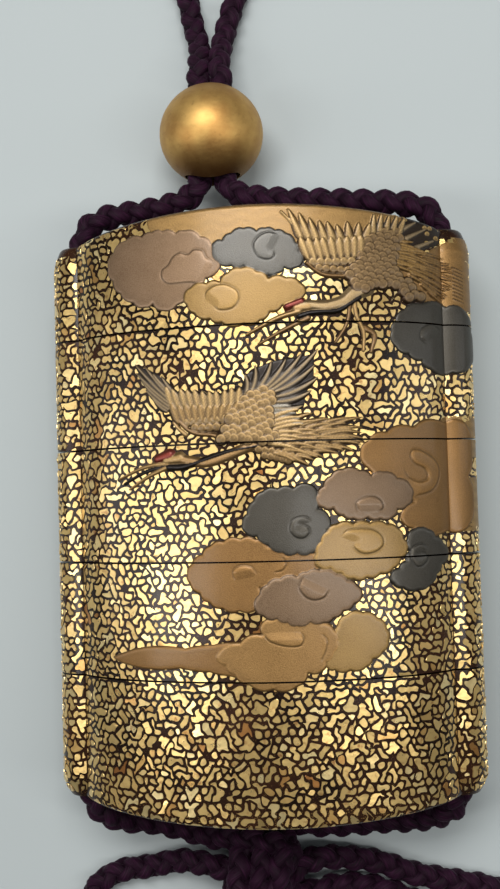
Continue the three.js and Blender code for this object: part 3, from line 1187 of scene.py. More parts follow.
@dataclass(frozen=True)
class Feather:
    """One leaf-shaped feather with a shaft, from root to tip."""

    root: Point
    tip: Point
    width: float
    level: float
    light: Colour
    dark: Colour
    pointed: bool = False
    bend: float = 0.0
    barbed: bool = True
    thickness: float = 0.15

    def draw(self, sheet: ReliefSheet) -> None:
        """Lay the feather on the picture.

        Args:
            sheet: the picture's field.
        """
        patch = sheet.patch((self.root, self.tip), self.width + abs(self.bend) + 0.2)
        way = np.array(self.tip) - np.array(self.root)
        length = float(np.hypot(*way))
        way = way / length
        px, py = patch.x - self.root[0], patch.y - self.root[1]
        u = (px * way[0] + py * way[1]) / length
        v = -px * way[1] + py * way[0] - self.bend * 4 * u * (1 - u)
        narrow = (np.clip((1 - u) * 1.3, 0, 1) if self.pointed else np.clip((1 - u) * 3.4, 0, 1)) ** 0.55
        half = np.maximum(self.width / 2 * np.clip(0.45 + 2.2 * u, 0, 1) * narrow, 0.03)
        pillow = np.maximum(1 - (v / half) ** 2, -6)
        ends = np.maximum(np.maximum(-u, u - 1), 0) * length
        height = self.level + self.thickness * np.where(pillow > 0, np.sqrt(np.maximum(pillow, 0)), pillow)
        height = height + 0.05 * np.clip(u, 0, 1) - 3.0 * ends
        ridge = np.exp(-((v / (0.1 * self.width + 0.03)) ** 2))
        barbs = 0.5 + 0.5 * np.sin((np.abs(v) * 1.3 - u * length) * 2 * math.pi / 0.42)
        # A barbed feather is lighter towards its tip, its own paler tip, and darker towards its root as
        # painted shadow under the row that covers it. Every feather darkens towards its sides as painted
        # shade where it curves down.
        body = 0.34 + 0.26 * barbs + 0.25 * (u - 0.5) if self.barbed else 0.04 + 0.06 * barbs
        share = (body + (0.5 if self.barbed else 1.0) * ridge) * np.clip(0.1 + 1.5 * pillow, 0, 1)
        dark = np.array(self.dark)
        patch.lay(height, dark + (np.array(self.light) - dark) * np.clip(share, 0, 1.1)[..., None])


@dataclass(frozen=True)
class Scale:
    """One small round body feather, overlapped like a roof tile."""

    x: float
    y: float
    radius: float
    facing: float
    level: float
    light: Colour
    dark: Colour

    def draw(self, sheet: ReliefSheet) -> None:
        """Lay the small feather on the picture.

        Args:
            sheet: the picture's field.
        """
        patch = sheet.patch(((self.x, self.y),), self.radius + 0.3)
        px, py = patch.x - self.x, patch.y - self.y
        away = np.hypot(px, py) / self.radius
        ahead = (px * math.cos(self.facing) + py * math.sin(self.facing)) / self.radius
        height = self.level + 0.07 * np.sqrt(np.maximum(1 - away**2, 0)) + 0.05 * ahead
        height = np.where(away > 1, self.level - 2.0 * (away - 1) * self.radius, height)
        # A painted highlight near the middle; a light ring near the edge, brighter on the front, part the
        # feather's own light outline and part painted highlight; and painted shade round its rim.
        spot = np.exp(-(((px - 0.1) ** 2 + (py - 0.16) ** 2) / (0.3 * self.radius) ** 2))
        rim = np.exp(-(((away - 0.72) / 0.14) ** 2)) * np.clip(0.6 + ahead, 0, 1)
        share = (0.36 + 0.34 * spot + 0.62 * rim) * np.clip((1 - away) / 0.16, 0, 1)
        dark = np.array(self.dark)
        patch.lay(height, dark + (np.array(self.light) - dark) * share[..., None])


def along_line(points: Line, share: float) -> Point:
    """A point part of the way along a chain of points.

    Args:
        points: the chain.
        share: how far along, from 0 to 1.

    Returns:
        The point.
    """
    spot = np.array(points, float)
    walk = np.concatenate([[0], np.cumsum(np.hypot(*np.diff(spot, axis=0).T))])
    place = share * walk[-1]
    return (float(np.interp(place, walk, spot[:, 0])), float(np.interp(place, walk, spot[:, 1])))


@dataclass(frozen=True)
class FeatherRow:
    """A row of feathers whose roots and tips follow two chains of points."""

    roots: Line
    tips: Line
    count: int
    width: float
    level: float
    light: Colour
    dark: Colour
    pointed: bool = False
    ragged: float = 0.12
    bend: float = 0.0
    barbed: bool = True

    def draw(self, sheet: ReliefSheet) -> None:
        """Lay the row, each feather a little over the last.

        Args:
            sheet: the picture's field.
        """
        luck = np.random.default_rng(int(abs(self.roots[0][0]) * 10) + self.count)
        for k in range(self.count):
            share = k / max(self.count - 1, 1)
            shift = luck.normal(0, self.ragged, 2)
            root, tip = along_line(self.roots, share), along_line(self.tips, share)
            tip = (tip[0] + shift[0], tip[1] + shift[1])
            level = self.level + 0.003 * k
            look = (self.width, level, self.light, self.dark, self.pointed, self.bend, self.barbed)
            Feather(root, tip, *look).draw(sheet)


@dataclass(frozen=True)
class ScaleField:
    """Staggered rows of small round feathers that fill an outline."""

    outline: Line
    radius: float
    facing: float
    level: float
    light: Colour
    dark: Colour

    def draw(self, sheet: ReliefSheet) -> None:
        """Lay the rows, from the hindmost forwards.

        Args:
            sheet: the picture's field.
        """
        luck = np.random.default_rng(int(self.radius * 100))
        spots = np.array(self.outline)
        way = np.array((math.cos(self.facing), math.sin(self.facing)))
        side = np.array((-way[1], way[0]))
        lows, highs = (spots @ way).min(), (spots @ way).max()
        left, right = (spots @ side).min(), (spots @ side).max()
        line = curve(self.outline, True, 3)
        for row, u in enumerate(np.arange(highs, lows, -0.92 * self.radius)):
            for v in np.arange(left, right, 1.56 * self.radius) + (row % 2) * 0.78 * self.radius:
                spot = u * way + v * side + luck.normal(0, 0.09, 2)
                if inside_distance(spot[None, :1], spot[None, 1:], line)[0, 0] < -0.1:
                    continue
                level = self.level + 0.012 * row
                facing = self.facing + luck.normal(0, 0.25)
                Scale(spot[0], spot[1], self.radius, facing, level, self.light, self.dark).draw(sheet)


@dataclass(frozen=True)
class ScaleLine:
    """One line of small round feathers."""

    points: Line
    count: int
    radius: float
    level: float
    light: Colour
    dark: Colour

    def draw(self, sheet: ReliefSheet) -> None:
        """Lay the line from one end to the other.

        Args:
            sheet: the picture's field.
        """
        for k in range(self.count):
            x, y = along_line(self.points, k / (self.count - 1))
            Scale(x, y, self.radius, 1.6, self.level + 0.004 * k, self.light, self.dark).draw(sheet)


@dataclass(frozen=True)
class Stroke:
    """A rounded stroke of changing width along a chain of points."""

    points: Line
    start_width: float
    end_width: float
    level: float
    tint: Colour
    thickness: float = 0.14

    def draw(self, sheet: ReliefSheet) -> None:
        """Lay the stroke on the picture.

        Args:
            sheet: the picture's field.
        """
        patch = sheet.patch(self.points, max(self.start_width, self.end_width) + 0.4)
        away, along = line_distance(patch.x, patch.y, curve(self.points, False))
        half = (self.start_width + (self.end_width - self.start_width) * along) / 2
        pillow = np.maximum(1 - (away / half) ** 2, -6)
        height = self.level + self.thickness * np.where(pillow > 0, np.sqrt(np.maximum(pillow, 0)), pillow)
        # Brighter along the middle and darker at the sides: painted light and shade on the stroke's rounded
        # section.
        patch.lay(height, np.array(self.tint) * (0.55 + 0.6 * np.clip(pillow, 0, 1))[..., None])


@dataclass(frozen=True)
class FlatPatch:
    """A flat, hardly raised area of powder."""

    outline: Line
    tint: Colour
    level: float
    ripple: float = 0.0

    def draw(self, sheet: ReliefSheet) -> None:
        """Lay the area on the picture.

        Args:
            sheet: the picture's field.
        """
        patch = sheet.patch(self.outline, 0.3)
        inside = inside_distance(patch.x, patch.y, curve(self.outline, True, 3))
        rise = 1 - np.exp(-np.maximum(inside, 0) / 0.15)
        height = np.where(inside > 0, self.level * (0.6 + 0.4 * rise), 0.6 * self.level + 2.4 * inside)
        wave = np.sin(patch.y * 5.0 + 1.5 * np.sin(patch.x * 1.7))
        # Darker near the edge as painted shade where the area drops to the ground.
        patch.lay(height, np.array(self.tint) * (0.82 + 0.18 * rise + self.ripple * wave)[..., None])


@dataclass(frozen=True)
class Picture:
    """Two cranes flying through curling clouds over a band of mist."""

    cream: Colour = Tint.FEATHER_CREAM.value
    gold: Colour = Tint.FEATHER_GOLD.value
    shade: Colour = Tint.FEATHER_SHADE.value
    quill: Colour = Tint.QUILL.value
    dark: Colour = Tint.FEATHER_DARK.value
    edge: Colour = Tint.FEATHER_EDGE.value
    night: Colour = Tint.NECK_DARK.value

    def grounds(self) -> list[Shape]:
        """The flat gold and grey areas that lie lowest.

        Returns:
            The areas.
        """
        rim = [(-12.8, 36.1), (-12.2, 34.6), (-9, 33.6), (-5.2, 31), (-3.5, 30.4), (0, 30.2), (4, 30.4),
            (6.2, 31), (12, 32), (17.6, 33)]
        rim += [(18.2, 36.9), (10, 37.6), (0, 37.8), (-8, 37.6), (-12.8, 37)]
        corner = [(16.8, 33.2), (20.4, 31.2), (23.1, 32.6), (24.6, 33.3), (27.4, 34.4), (27.4, 24.6),
            (21.6, 24.8), (19.8, 26.4), (17.2, 28.6)]
        right = [(22.6, 10.9), (27.4, 10.8), (27.4, 6.2), (22.6, 6.2)]
        lower = [(22.6, 3.2), (27.4, 3.2), (27.4, -2.9), (22.6, -2.9)]
        return [
            FlatPatch(rim, (0.36, 0.22, 0.078), 0.1, 0.05),
            # A dark stroke along the top rim: painted shade where the rounded rim turns from the light.
            Stroke([(-12.6, 36.6), (-6, 37.1), (2, 37.2), (10, 36.8), (18, 36.1)], 0.7, 0.7, 0.09,
                (0.15, 0.085, 0.035), 0.05),
            FlatPatch(corner, (0.33, 0.19, 0.065), 0.09, 0.05),
            FlatPatch(right, (0.36, 0.22, 0.08), 0.09, 0.12),
            FlatPatch(lower, (0.40, 0.25, 0.09), 0.09, 0.12),
        ]

    def clouds(self) -> list[Cloud]:
        """The clouds, from the hindmost to the foremost.

        Returns:
            The clouds.
        """
        return [
            Cloud([(12.4, 6.7), (13.3, 8.1), (15.7, 9.2), (18.9, 9.8), (22.8, 10.4), (25.6, 10.3),
                (25.8, 3.6), (25.4, -2.8), (22.8, -3.1), (18.5, -2.6), (16.9, -1.3), (18.6, 0.7), (17.1, 3.4),
                (13.2, 4.8)], [[(17.5, 5.2), (18, 3.8), (19.3, 3.1), (20.4, 3.5), (20.1, 4.6), (18.9, 5.3),
                (18.4, 6.2), (18.8, 7), (19.9, 6.8), (21.3, 5.8), (21.9, 4.6), (21.7, 3.1), (20.8, 1.9),
                (18.7, 1.3)]], Tint.BROWN_GOLD.value, 0.06),
            Cloud([(16.6, 21.3), (17.2, 22.7), (18.3, 24.1), (20.5, 24.9), (23.7, 24.8), (25.8, 24.6),
                (26.9, 21.9), (26.5, 17.3), (24.2, 16.5), (21.3, 16.8), (20.2, 17.8), (18.6, 18.6),
                (17.1, 19.4)], [[(22.8, 21.8), (21.6, 22.4), (20.4, 21.9), (20.1, 20.8), (20.9, 20)]],
                Tint.DARK_GREY.value, 0.1),
            Cloud([(-18.2, 30.8), (-17.4, 32.7), (-15.7, 34), (-13.4, 34.2), (-12.1, 34.6), (-10.7, 34.6),
                (-9, 34.2), (-8, 34.4), (-5.9, 33.5), (-4.5, 32.4), (-3.4, 30), (-5.4, 28.2), (-7.4, 26.7),
                (-9, 25.3), (-10.9, 24.7), (-12.2, 25.7), (-13.1, 25.3), (-14.8, 26.1), (-16.5, 27.4),
                (-17.5, 29.1)], [[(-4.4, 30.1), (-5.3, 30.9), (-5.7, 31.7), (-6.8, 31.9), (-7.6, 31.4),
                (-8.6, 31.7), (-9.6, 31.1), (-10.1, 30.3), (-10.9, 29.7), (-10.9, 28.7), (-10.2, 28),
                (-8.9, 27.9), (-7.4, 27.9), (-5.7, 27.6)]], Tint.ROSE_BROWN.value, 0.06),
            Cloud([(-4.6, 31.7), (-4.3, 32.6), (-3.3, 32.8), (-2.2, 33.6), (-0.6, 34.1), (0.9, 33.7),
                (1.9, 34), (3.1, 33.7), (4.4, 33.3), (5.5, 32.2), (5.9, 31.1), (6.4, 30), (5.3, 29),
                (4.1, 29.1), (3.2, 28.4), (2.1, 28.3), (0.7, 28.8), (-0.7, 29.5), (-2.3, 29.6), (-3.9, 30.1)],
                [[(3.8, 33.1), (2.3, 33.5), (1, 32.9), (0.4, 31.8), (1, 30.5), (2.2, 30.1), (3, 30.6),
                (2.9, 31.4)]], Tint.SILVER_GREY.value, 0.13),
            Cloud([(-8.2, 26.1), (-7.3, 27.3), (-5.4, 27.7), (-3.7, 27.7), (-2.7, 28.8), (-1.1, 29.3),
                (0.8, 28.8), (2.2, 27.9), (4.3, 27.9), (6, 27.2), (6.6, 26.1), (5.4, 25.2), (3.7, 24.5),
                (2.2, 23.8), (1, 22.8), (-0.9, 22.5), (-3.6, 22.8), (-5, 23.3), (-6.9, 24.1), (-7.8, 25.2)],
                [[(-5.5, 25.7), (-5.4, 26.6), (-4.4, 27.3), (-3, 27.4), (-1.6, 26.6), (-1.4, 25.4),
                (-2.3, 24.4), (-3.8, 24.3), (-4.7, 25)]], Tint.BRIGHT_GOLD.value, 0.2),
            Cloud([(-8.7, -7.2), (-8.1, -6), (-6.8, -4.9), (-5.8, -3.9), (-4.2, -3.4), (-2.1, -3.1),
                (-0.3, -3.2), (1.2, -4.1), (3.4, -5.1), (6.9, -5.2), (7.2, -6.9), (4.5, -7.9), (0.1, -9),
                (-0.3, -11.5), (-2.4, -11.7), (-4.4, -11.4), (-6, -10.7), (-7.2, -9.6), (-8.4, -8.4)],
                [[(-2.9, -8.1), (-3.1, -6.9), (-2.1, -6.3), (-0.8, -6.5), (-0.1, -7.5)], [(2.8, -5.4),
                (3.3, -6.2), (2.8, -7), (1.8, -7.2)]], Tint.BROWN_GOLD.value, 0.06),
            Cloud([(-1.8, -1.3), (-1.2, -0.2), (-0.4, 1.3), (0.7, 2.4), (2.5, 2.7), (4.4, 2.7), (6.4, 3.1),
                (7.2, 1.9), (7.2, 0.2), (8.6, -1), (8.2, -2.5), (7.3, -4), (6.1, -5.2), (4.6, -5.1),
                (2.9, -5), (1.2, -4), (-0.1, -2.9), (-1.5, -2.4)], [[(6.5, -1.3), (5.8, -0.8), (4.8, -0.8),
                (4, -1.3), (3.8, -2.3), (4.4, -3.1), (5.4, -3.3), (6.1, -2.7), (6, -2), (5.2, -1.7)]],
                Tint.DARK_GREY.value, 0.14),
            Cloud([(7.2, 1.9), (7.9, 2.8), (8.8, 4), (10.3, 4.8), (12.3, 4.6), (13.6, 4), (15.1, 4.4),
                (16.7, 3.6), (18.3, 2.6), (18.5, 1.3), (17.8, 0.2), (16.6, -0.2), (16.1, -1.1), (14.5, -1.3),
                (13, -1.1), (11.3, -1.2), (10.1, -0.8), (9, 0.1), (7.8, 0.2), (6.9, 1.1)], [[(11.9, -0.4),
                (11.7, 0.7), (12.5, 1.3), (13.7, 1.5), (14.6, 1), (14.9, 0.1), (14.3, -0.4)]],
                Tint.ROSE_GREY.value, 0.17),
            Cloud([(6.7, -5.2), (7.3, -3.7), (8.2, -2.5), (9.4, -1.7), (11.3, -1.7), (13.3, -1.7),
                (15.3, -1.9), (16.5, -2.4), (17.2, -3.7), (17.6, -5.2), (16.8, -6), (15.9, -7.2),
                (14.3, -7.8), (12.7, -8.2), (11.1, -8.3), (9.6, -7.6), (8.4, -7), (7.2, -6.9), (6.6, -6)],
                [[(9.7, -3.2), (10.6, -2.5), (12.1, -2.3), (13.6, -2.5), (14.6, -3.3), (14.7, -4.4),
                (13.7, -5.2), (12.2, -5.3), (11.3, -4.6), (11.2, -3.9)]], Tint.BRIGHT_GOLD.value, 0.2),
            Cloud([(17.7, -3.7), (18.5, -2.6), (20.2, -2.7), (21.1, -3.6), (22.1, -4.5), (22.7, -5.9),
                (21.8, -7.1), (21.1, -8.2), (20.3, -9.4), (18.7, -9.9), (17, -9.6), (15.8, -9.1),
                (15.5, -8.1), (16.6, -7.2), (17.4, -6.4), (17.9, -5.3)], [[(20.1, -5.1), (19.5, -4.5),
                (18.7, -4.5), (18, -5.1), (18, -6.2), (18.6, -7.1), (19.4, -7), (20, -6.2), (19.6, -5.5),
                (19, -5.6)]], Tint.DARK_GREY.value, 0.22),
            Cloud([(-18.7, -17.4), (-17, -16.7), (-15, -16.1), (-12.4, -15.8), (-9.2, -16), (-5.7, -15.6),
                (-2.5, -15.3), (0.2, -14.6), (4.6, -15.3), (4.5, -18.6), (1.5, -20), (-1.5, -19.9),
                (-3.6, -19.4), (-6.2, -18.9), (-9.9, -18.5), (-13.7, -18.7), (-16.4, -18.3), (-18, -17.9)],
                [], Tint.BROWN_GOLD.value, 0.05, bulge=0.03),
            Cloud([(7.7, -18.6), (7.9, -17), (8.8, -15.5), (9, -13.7), (10.2, -12.4), (12.1, -12.2),
                (13.8, -12.9), (14.9, -14.3), (15.1, -15.8), (14.3, -17.1), (13.1, -17.8), (12.3, -18.7),
                (10.4, -19), (8.6, -18.9)], [], Tint.BRIGHT_GOLD.value, 0.09),
            Cloud([(0.2, -14.5), (0.1, -13.2), (1.4, -12.7), (4.7, -12.8), (7.3, -13.2), (8.7, -14.1),
                (9.2, -15.5), (8.7, -16.9), (7.7, -18), (7.2, -18.9), (5.5, -19.1), (4.2, -20.6),
                (1.3, -20.9), (-1.4, -20.4), (-3.2, -19.2), (-4.3, -18.1), (-5.5, -17), (-2.5, -15.4)],
                [[(0.3, -14.3), (1.1, -15.3), (2.9, -15.9), (4.6, -15.9), (5.1, -15.1), (4.7, -14.2)],
                [(7, -17.8), (7.6, -16.6), (7.8, -15.4), (7.2, -14.5)]], (0.36, 0.21, 0.075), 0.12),
            Cloud([(-0.6, -11.4), (0, -9.7), (0.9, -8.6), (2.5, -7.9), (4.5, -7.7), (5.7, -7.2), (7.2, -7),
                (9.2, -7.5), (10.4, -8.3), (11.5, -9), (12.1, -10.2), (11.1, -11.2), (9.8, -12), (8.6, -12.8),
                (7.4, -13.3), (5.9, -13.2), (4.3, -13.6), (3.2, -13.2), (2, -12.7), (0.4, -12.3)],
                [[(5.2, -7.8), (4.7, -9), (5.3, -10.1), (6.4, -10.6), (7.6, -10.3), (8.2, -9.4)]],
                Tint.ROSE_GREY.value, 0.2),
        ]

    def main_crane(self) -> list[Shape]:
        """The parts of the crane in the middle, flying left with both wings raised.

        Returns:
            The parts.
        """
        cream, gold, shade = self.cream, self.gold, self.shade
        quill, dark, edge = self.quill, self.dark, self.edge
        body = [(-3.8, 8.6), (-3.6, 10.1), (-1.9, 12.5), (0, 14.2), (2, 14.6), (2.8, 13.9), (2.3, 12.5),
            (1.9, 10.9), (2.1, 9.1), (3.2, 8.3)]
        return [
            FlatPatch([(-14.6, 18.2), (-14, 16.8), (-12.7, 15.2), (-11.3, 13.5), (-9.3, 12.2), (-8.7, 13.7),
                (-9.4, 14.8), (-11.2, 16.5), (-12.6, 17.5)], self.dark, 0.1),
            FeatherRow([(-8.8, 13.7), (-10, 13.1), (-10.6, 12.4)], [(-11.2, 16.6), (-13, 17.8), (-14.8, 18.4),
                (-14.3, 16.9), (-13.5, 15.4), (-12.5, 14.2)], 8, 0.8, 0.1, quill, dark, True, 0.1, 0.15,
                False),
            FlatPatch([(-1.2, 14.2), (-1, 16.1), (0, 16.9), (2.4, 17.9), (5.1, 18.2), (7.2, 18.6),
                (7.2, 17.3), (7.2, 15.8), (6.2, 14), (5.9, 12.3), (4.3, 12), (2.4, 12.4)], self.dark, 0.1),
            FeatherRow([(-1.1, 13.8), (0.2, 14.2), (1.4, 14.4), (2.6, 14.3), (2.8, 13.7), (2.4, 12.4)],
                [(-1, 16.2), (0.4, 17.1), (2.4, 18.1), (5.1, 18.4), (7.9, 19.2), (7.6, 17.5), (7.5, 15.8),
                (6.5, 14), (6, 12.3)], 10, 1.1, 0.12, quill, dark, True, 0.15, -0.35, False),
            FeatherRow([(1.9, 12.4), (2.3, 11.7), (2.7, 10.9)], [(4.2, 12.5), (5.1, 11.6), (5.6, 10.5)], 5,
                0.8, 0.14, (0.36, 0.33, 0.27), dark, True),
            FeatherRow([(8.9, 9.9), (9.3, 8.7), (8.7, 7.4)], [(12.9, 10.6), (13.1, 8.8), (11.4, 6.9)], 8, 0.6,
                0.1, gold, edge, True, 0.3, 0.2),
            FeatherRow([(7.2, 9.9), (7.6, 8.6), (6.8, 7)], [(10.9, 10.7), (11.2, 8.6), (9.8, 6.5)], 9, 0.65,
                0.12, gold, edge, True, 0.3, 0.2),
            FeatherRow([(5.4, 10), (5.9, 8.6), (5.1, 6.8), (3.9, 6.3)], [(9, 10.9), (9.5, 8.7), (8.3, 6.3),
                (6.2, 5.4)], 10, 0.7, 0.14, gold, edge, True, 0.25, 0.2),
            FeatherRow([(3.6, 10.3), (4.1, 8.9), (3.4, 7.3), (2.2, 6.9)], [(7.1, 11.3), (7.7, 9), (6.6, 6.7),
                (4.6, 5.7)], 10, 0.75, 0.16, gold, edge, True, 0.2, 0.2),
            FeatherRow([(1.9, 11), (2.2, 9.6), (1.6, 8)], [(5.2, 11.9), (5.8, 9.9), (5, 7.6)], 8, 0.8, 0.18,
                cream, edge, True, 0.15, 0.2),
            FeatherRow([(-9.8, 12.2), (-8.2, 12.3), (-6.8, 12.3), (-5.1, 12.2), (-3.5, 12.2), (-2, 12.5)],
                [(-10.8, 15.3), (-9.2, 15.1), (-7.4, 14.9), (-5.7, 14.7), (-4, 14.6), (-1.7, 14.9)], 11, 0.98,
                0.13, cream, dark, False, 0.1),
            FeatherRow([(-9.2, 10.9), (-8, 11.1), (-6.6, 11.1), (-5.2, 11.2), (-3.7, 11.3), (-2.6, 11.5)],
                [(-10.1, 13.2), (-8.6, 13.1), (-6.9, 13), (-5.3, 12.9), (-3.7, 12.9), (-1.9, 13.1)], 10, 1.0,
                0.18, gold, edge, False, 0.05),
            ScaleLine([(-8.3, 10.9), (-6.6, 11.1), (-4.8, 11.1), (-2.9, 11.4)], 7, 0.56, 0.22, cream, edge),
            ScaleLine([(-7.2, 10.25), (-5.9, 10.2), (-4.8, 10.3), (-3.7, 10.2)], 5, 0.54, 0.23, gold, edge),
            Stroke([(-9.1, 11.1), (-8.1, 10.1), (-6.9, 9.55), (-5.2, 9.35), (-3.8, 8.9)], 0.4, 0.45, 0.2,
                shade),
            Stroke([(-9.9, 11), (-9.2, 10.2), (-8.4, 9.5)], 0.3, 0.5, 0.1, gold),
            ScaleField(body, 0.66, 1.1, 0.24, (0.50, 0.335, 0.145), (0.05, 0.026, 0.012)),
            ScaleLine([(0.4, 7.4), (1.8, 7.2), (2.9, 6.9), (4.3, 6.5)], 6, 0.48, 0.22, gold, edge),
            ScaleLine([(1.1, 6.65), (2.5, 6.35), (3.9, 5.95)], 5, 0.45, 0.2, gold, edge),
            Stroke([(-0.2, 8), (-2, 7.3), (-3.3, 6.8), (-4.7, 6.3), (-6.1, 6.05), (-7.5, 6.2), (-8.9, 6.5),
                (-10.2, 6.75)], 0.9, 0.8, 0.2, (0.36, 0.22, 0.09)),
            Stroke([(0.1, 7.8), (-1.9, 7.5), (-3.3, 7.25), (-4.7, 6.85), (-6.1, 6.4), (-7.5, 5.95),
                (-9.1, 5.6), (-10.6, 5.65)], 0.3, 0.6, 0.24, self.night),
            Stroke([(-9.2, 6.7), (-10.9, 6.5)], 1.0, 0.8, 0.24, gold),
            Stroke([(-10.5, 7.15), (-12, 6.7)], 0.95, 0.7, 0.28, Tint.CROWN_RED.value),
            Stroke([(-10.7, 5.9), (-13.6, 5.2), (-16.5, 3.8)], 0.5, 0.3, 0.1, self.night),
            Stroke([(-10.7, 6.15), (-13.8, 5.75), (-17.2, 4.4)], 0.5, 0.2, 0.16, gold),
            Stroke([(-11, 5.6), (-13.3, 4.6), (-15.8, 3.1)], 0.5, 0.2, 0.16, gold),
        ]

    def upper_crane(self) -> list[Shape]:
        """The parts of the crane at the lid's right, whose wings reach the rim.

        Returns:
            The parts.
        """
        cream, gold, shade = self.cream, self.gold, self.shade
        quill, dark, edge = self.quill, self.dark, self.edge
        body = [(11.7, 27.8), (12.7, 29.9), (14.2, 32.4), (15.6, 33.3), (17.4, 33.6), (18.1, 32.6),
            (17.3, 30.8), (16.9, 29), (18.2, 28), (19.6, 26.5), (20.3, 25.3), (18.9, 25.4), (17.7, 26.4),
            (16.3, 27.1), (14.7, 26.7), (13, 26.4)]
        night = [(17.9, 33.6), (19.2, 35.2), (20.7, 35.9), (22.8, 34.7), (23.2, 32.9), (21.6, 31.9),
            (20.2, 31.4), (18.8, 32.2)]
        return [
            FlatPatch(night, (0.035, 0.022, 0.014), 0.12),
            Stroke([(18.2, 33.8), (20, 34.9)], 0.7, 0.2, 0.12, quill),
            Stroke([(18.9, 32.9), (21.2, 34.2)], 0.6, 0.2, 0.12, quill),
            Stroke([(20, 31.8), (22.2, 32.9)], 0.6, 0.25, 0.12, quill),
            ScaleLine([(21.2, 34.4), (21.9, 34.5), (21.5, 33.7)], 3, 0.32, 0.1, (0.75, 0.5, 0.18), edge),
            ScaleLine([(21.4, 32.5), (22.6, 33.3)], 2, 0.35, 0.1, (0.75, 0.5, 0.18), edge),
            FeatherRow([(22.3, 30.3), (22.1, 28.4), (21.2, 26.5)], [(24.5, 30), (24.3, 27.4), (23.1, 25.1)],
                14, 0.42, 0.12, (0.36, 0.2, 0.065), edge, True, 0.2),
            FeatherRow([(20.7, 31.2), (20.4, 29.2), (20.4, 27.3)], [(23.3, 30.9), (23.3, 28.7), (22.3, 25.9)],
                14, 0.46, 0.14, (0.38, 0.22, 0.07), edge, True, 0.2),
            FeatherRow([(19.1, 31.8), (18.8, 30), (19, 28.4)], [(21.2, 31.4), (21.4, 29.5), (20.9, 27.5)], 12,
                0.5, 0.16, (0.42, 0.25, 0.08), edge, True, 0.15),
            FeatherRow([(18, 32.4), (17.5, 31), (17.2, 29.5)], [(19.7, 32.3), (19.9, 30.4), (19.4, 28.8)], 10,
                0.55, 0.18, (0.46, 0.28, 0.09), edge, True, 0.1),
            Stroke([(3.9, 35.9), (4.9, 34.8), (5.9, 33.2)], 0.2, 0.3, 0.16, cream),
            Stroke([(4.7, 36.1), (5.5, 35), (6.3, 33.4)], 0.2, 0.3, 0.16, gold),
            FeatherRow([(6.4, 32.2), (8.2, 31.9), (10.4, 32), (13.9, 32.2)], [(4.9, 36), (6.4, 35.5),
                (7.7, 35), (9.1, 34.5), (10.3, 34.3), (11.5, 34.4), (12.7, 34.5), (14.2, 34.5)], 9, 1.1, 0.18,
                cream, edge, True, 0.1),
            FeatherRow([(14.8, 32.8), (16, 33), (17.8, 33)], [(14.8, 35.6), (16.6, 35.7), (18.8, 35.5)], 5,
                0.85, 0.2, cream, dark, True, 0.1),
            FeatherRow([(7, 30), (8.7, 30), (10.9, 30.1), (13.2, 30.4)], [(6, 32.8), (8.2, 32.6),
                (10.7, 32.7), (13.4, 32.9)], 9, 1.05, 0.24, cream, edge, False, 0.06),
            ScaleLine([(7.5, 29.7), (9.8, 29.7), (12.1, 29.8)], 6, 0.52, 0.28, cream, edge),
            ScaleLine([(8.2, 29), (9.4, 28.85), (11.6, 28.7)], 5, 0.48, 0.29, gold, edge),
            Stroke([(6.8, 29.6), (7.8, 28.7), (9.1, 28.1), (11.6, 28)], 0.35, 0.45, 0.24, shade),
            ScaleField(body, 0.62, 1.3, 0.28, (0.40, 0.265, 0.125), (0.05, 0.026, 0.012)),
            Stroke([(11.8, 25.6), (11.6, 23.3), (11.1, 21.8), (9.9, 20)], 0.5, 0.3, 0.12, shade),
            Stroke([(12.3, 25.6), (12.5, 23.3), (13.3, 21.2), (13.2, 19)], 0.5, 0.35, 0.12, gold),
            Stroke([(13.5, 21.7), (14.6, 20.8), (14.1, 18.8)], 0.7, 0.35, 0.12, shade),
            Stroke([(13.8, 26.5), (12.3, 25.9), (11.2, 25), (9.8, 24.5), (8.5, 24.35), (7.1, 24.5),
                (5.9, 24.5)], 1.2, 0.75, 0.28, (0.46, 0.33, 0.17)),
            Stroke([(12.9, 25.4), (11.5, 24.5), (10.2, 23.8), (8.5, 23.7), (6.9, 23.55), (5.7, 23.2)], 0.4,
                0.45, 0.3, self.night),
            Stroke([(6.8, 24.4), (5.4, 24.2)], 0.9, 0.8, 0.3, gold),
            Stroke([(6, 25), (4.3, 24.4)], 0.6, 0.6, 0.34, Tint.CROWN_RED.value),
            Stroke([(5.7, 23.8), (3, 23), (-0.6, 21.2)], 0.5, 0.25, 0.3, gold),
            Stroke([(6.8, 23), (4, 21.7), (0.8, 20)], 0.5, 0.25, 0.18, shade),
        ]

    def hatching(self) -> list[Stroke]:
        """Short strokes engraved on the runners' gold.

        Returns:
            The strokes.
        """
        marks = []
        for low, high, count in ((25.6, 29.6, 10), (-2.4, 2.8, 12)):
            for k in range(count):
                y = low + (high - low) * k / (count - 1)
                marks.append(Stroke([(24.6, y + 0.2), (25.9, y - 0.25)], 0.16, 0.1, 0.02, self.edge))
        return marks

    def draw(self, sheet: ReliefSheet) -> None:
        """Lay the whole picture, from the hindmost to the foremost.

        Args:
            sheet: the picture's field.
        """
        for parts in (self.grounds, self.clouds, self.main_crane, self.upper_crane, self.hatching):
            for part in parts():
                part.draw(sheet)


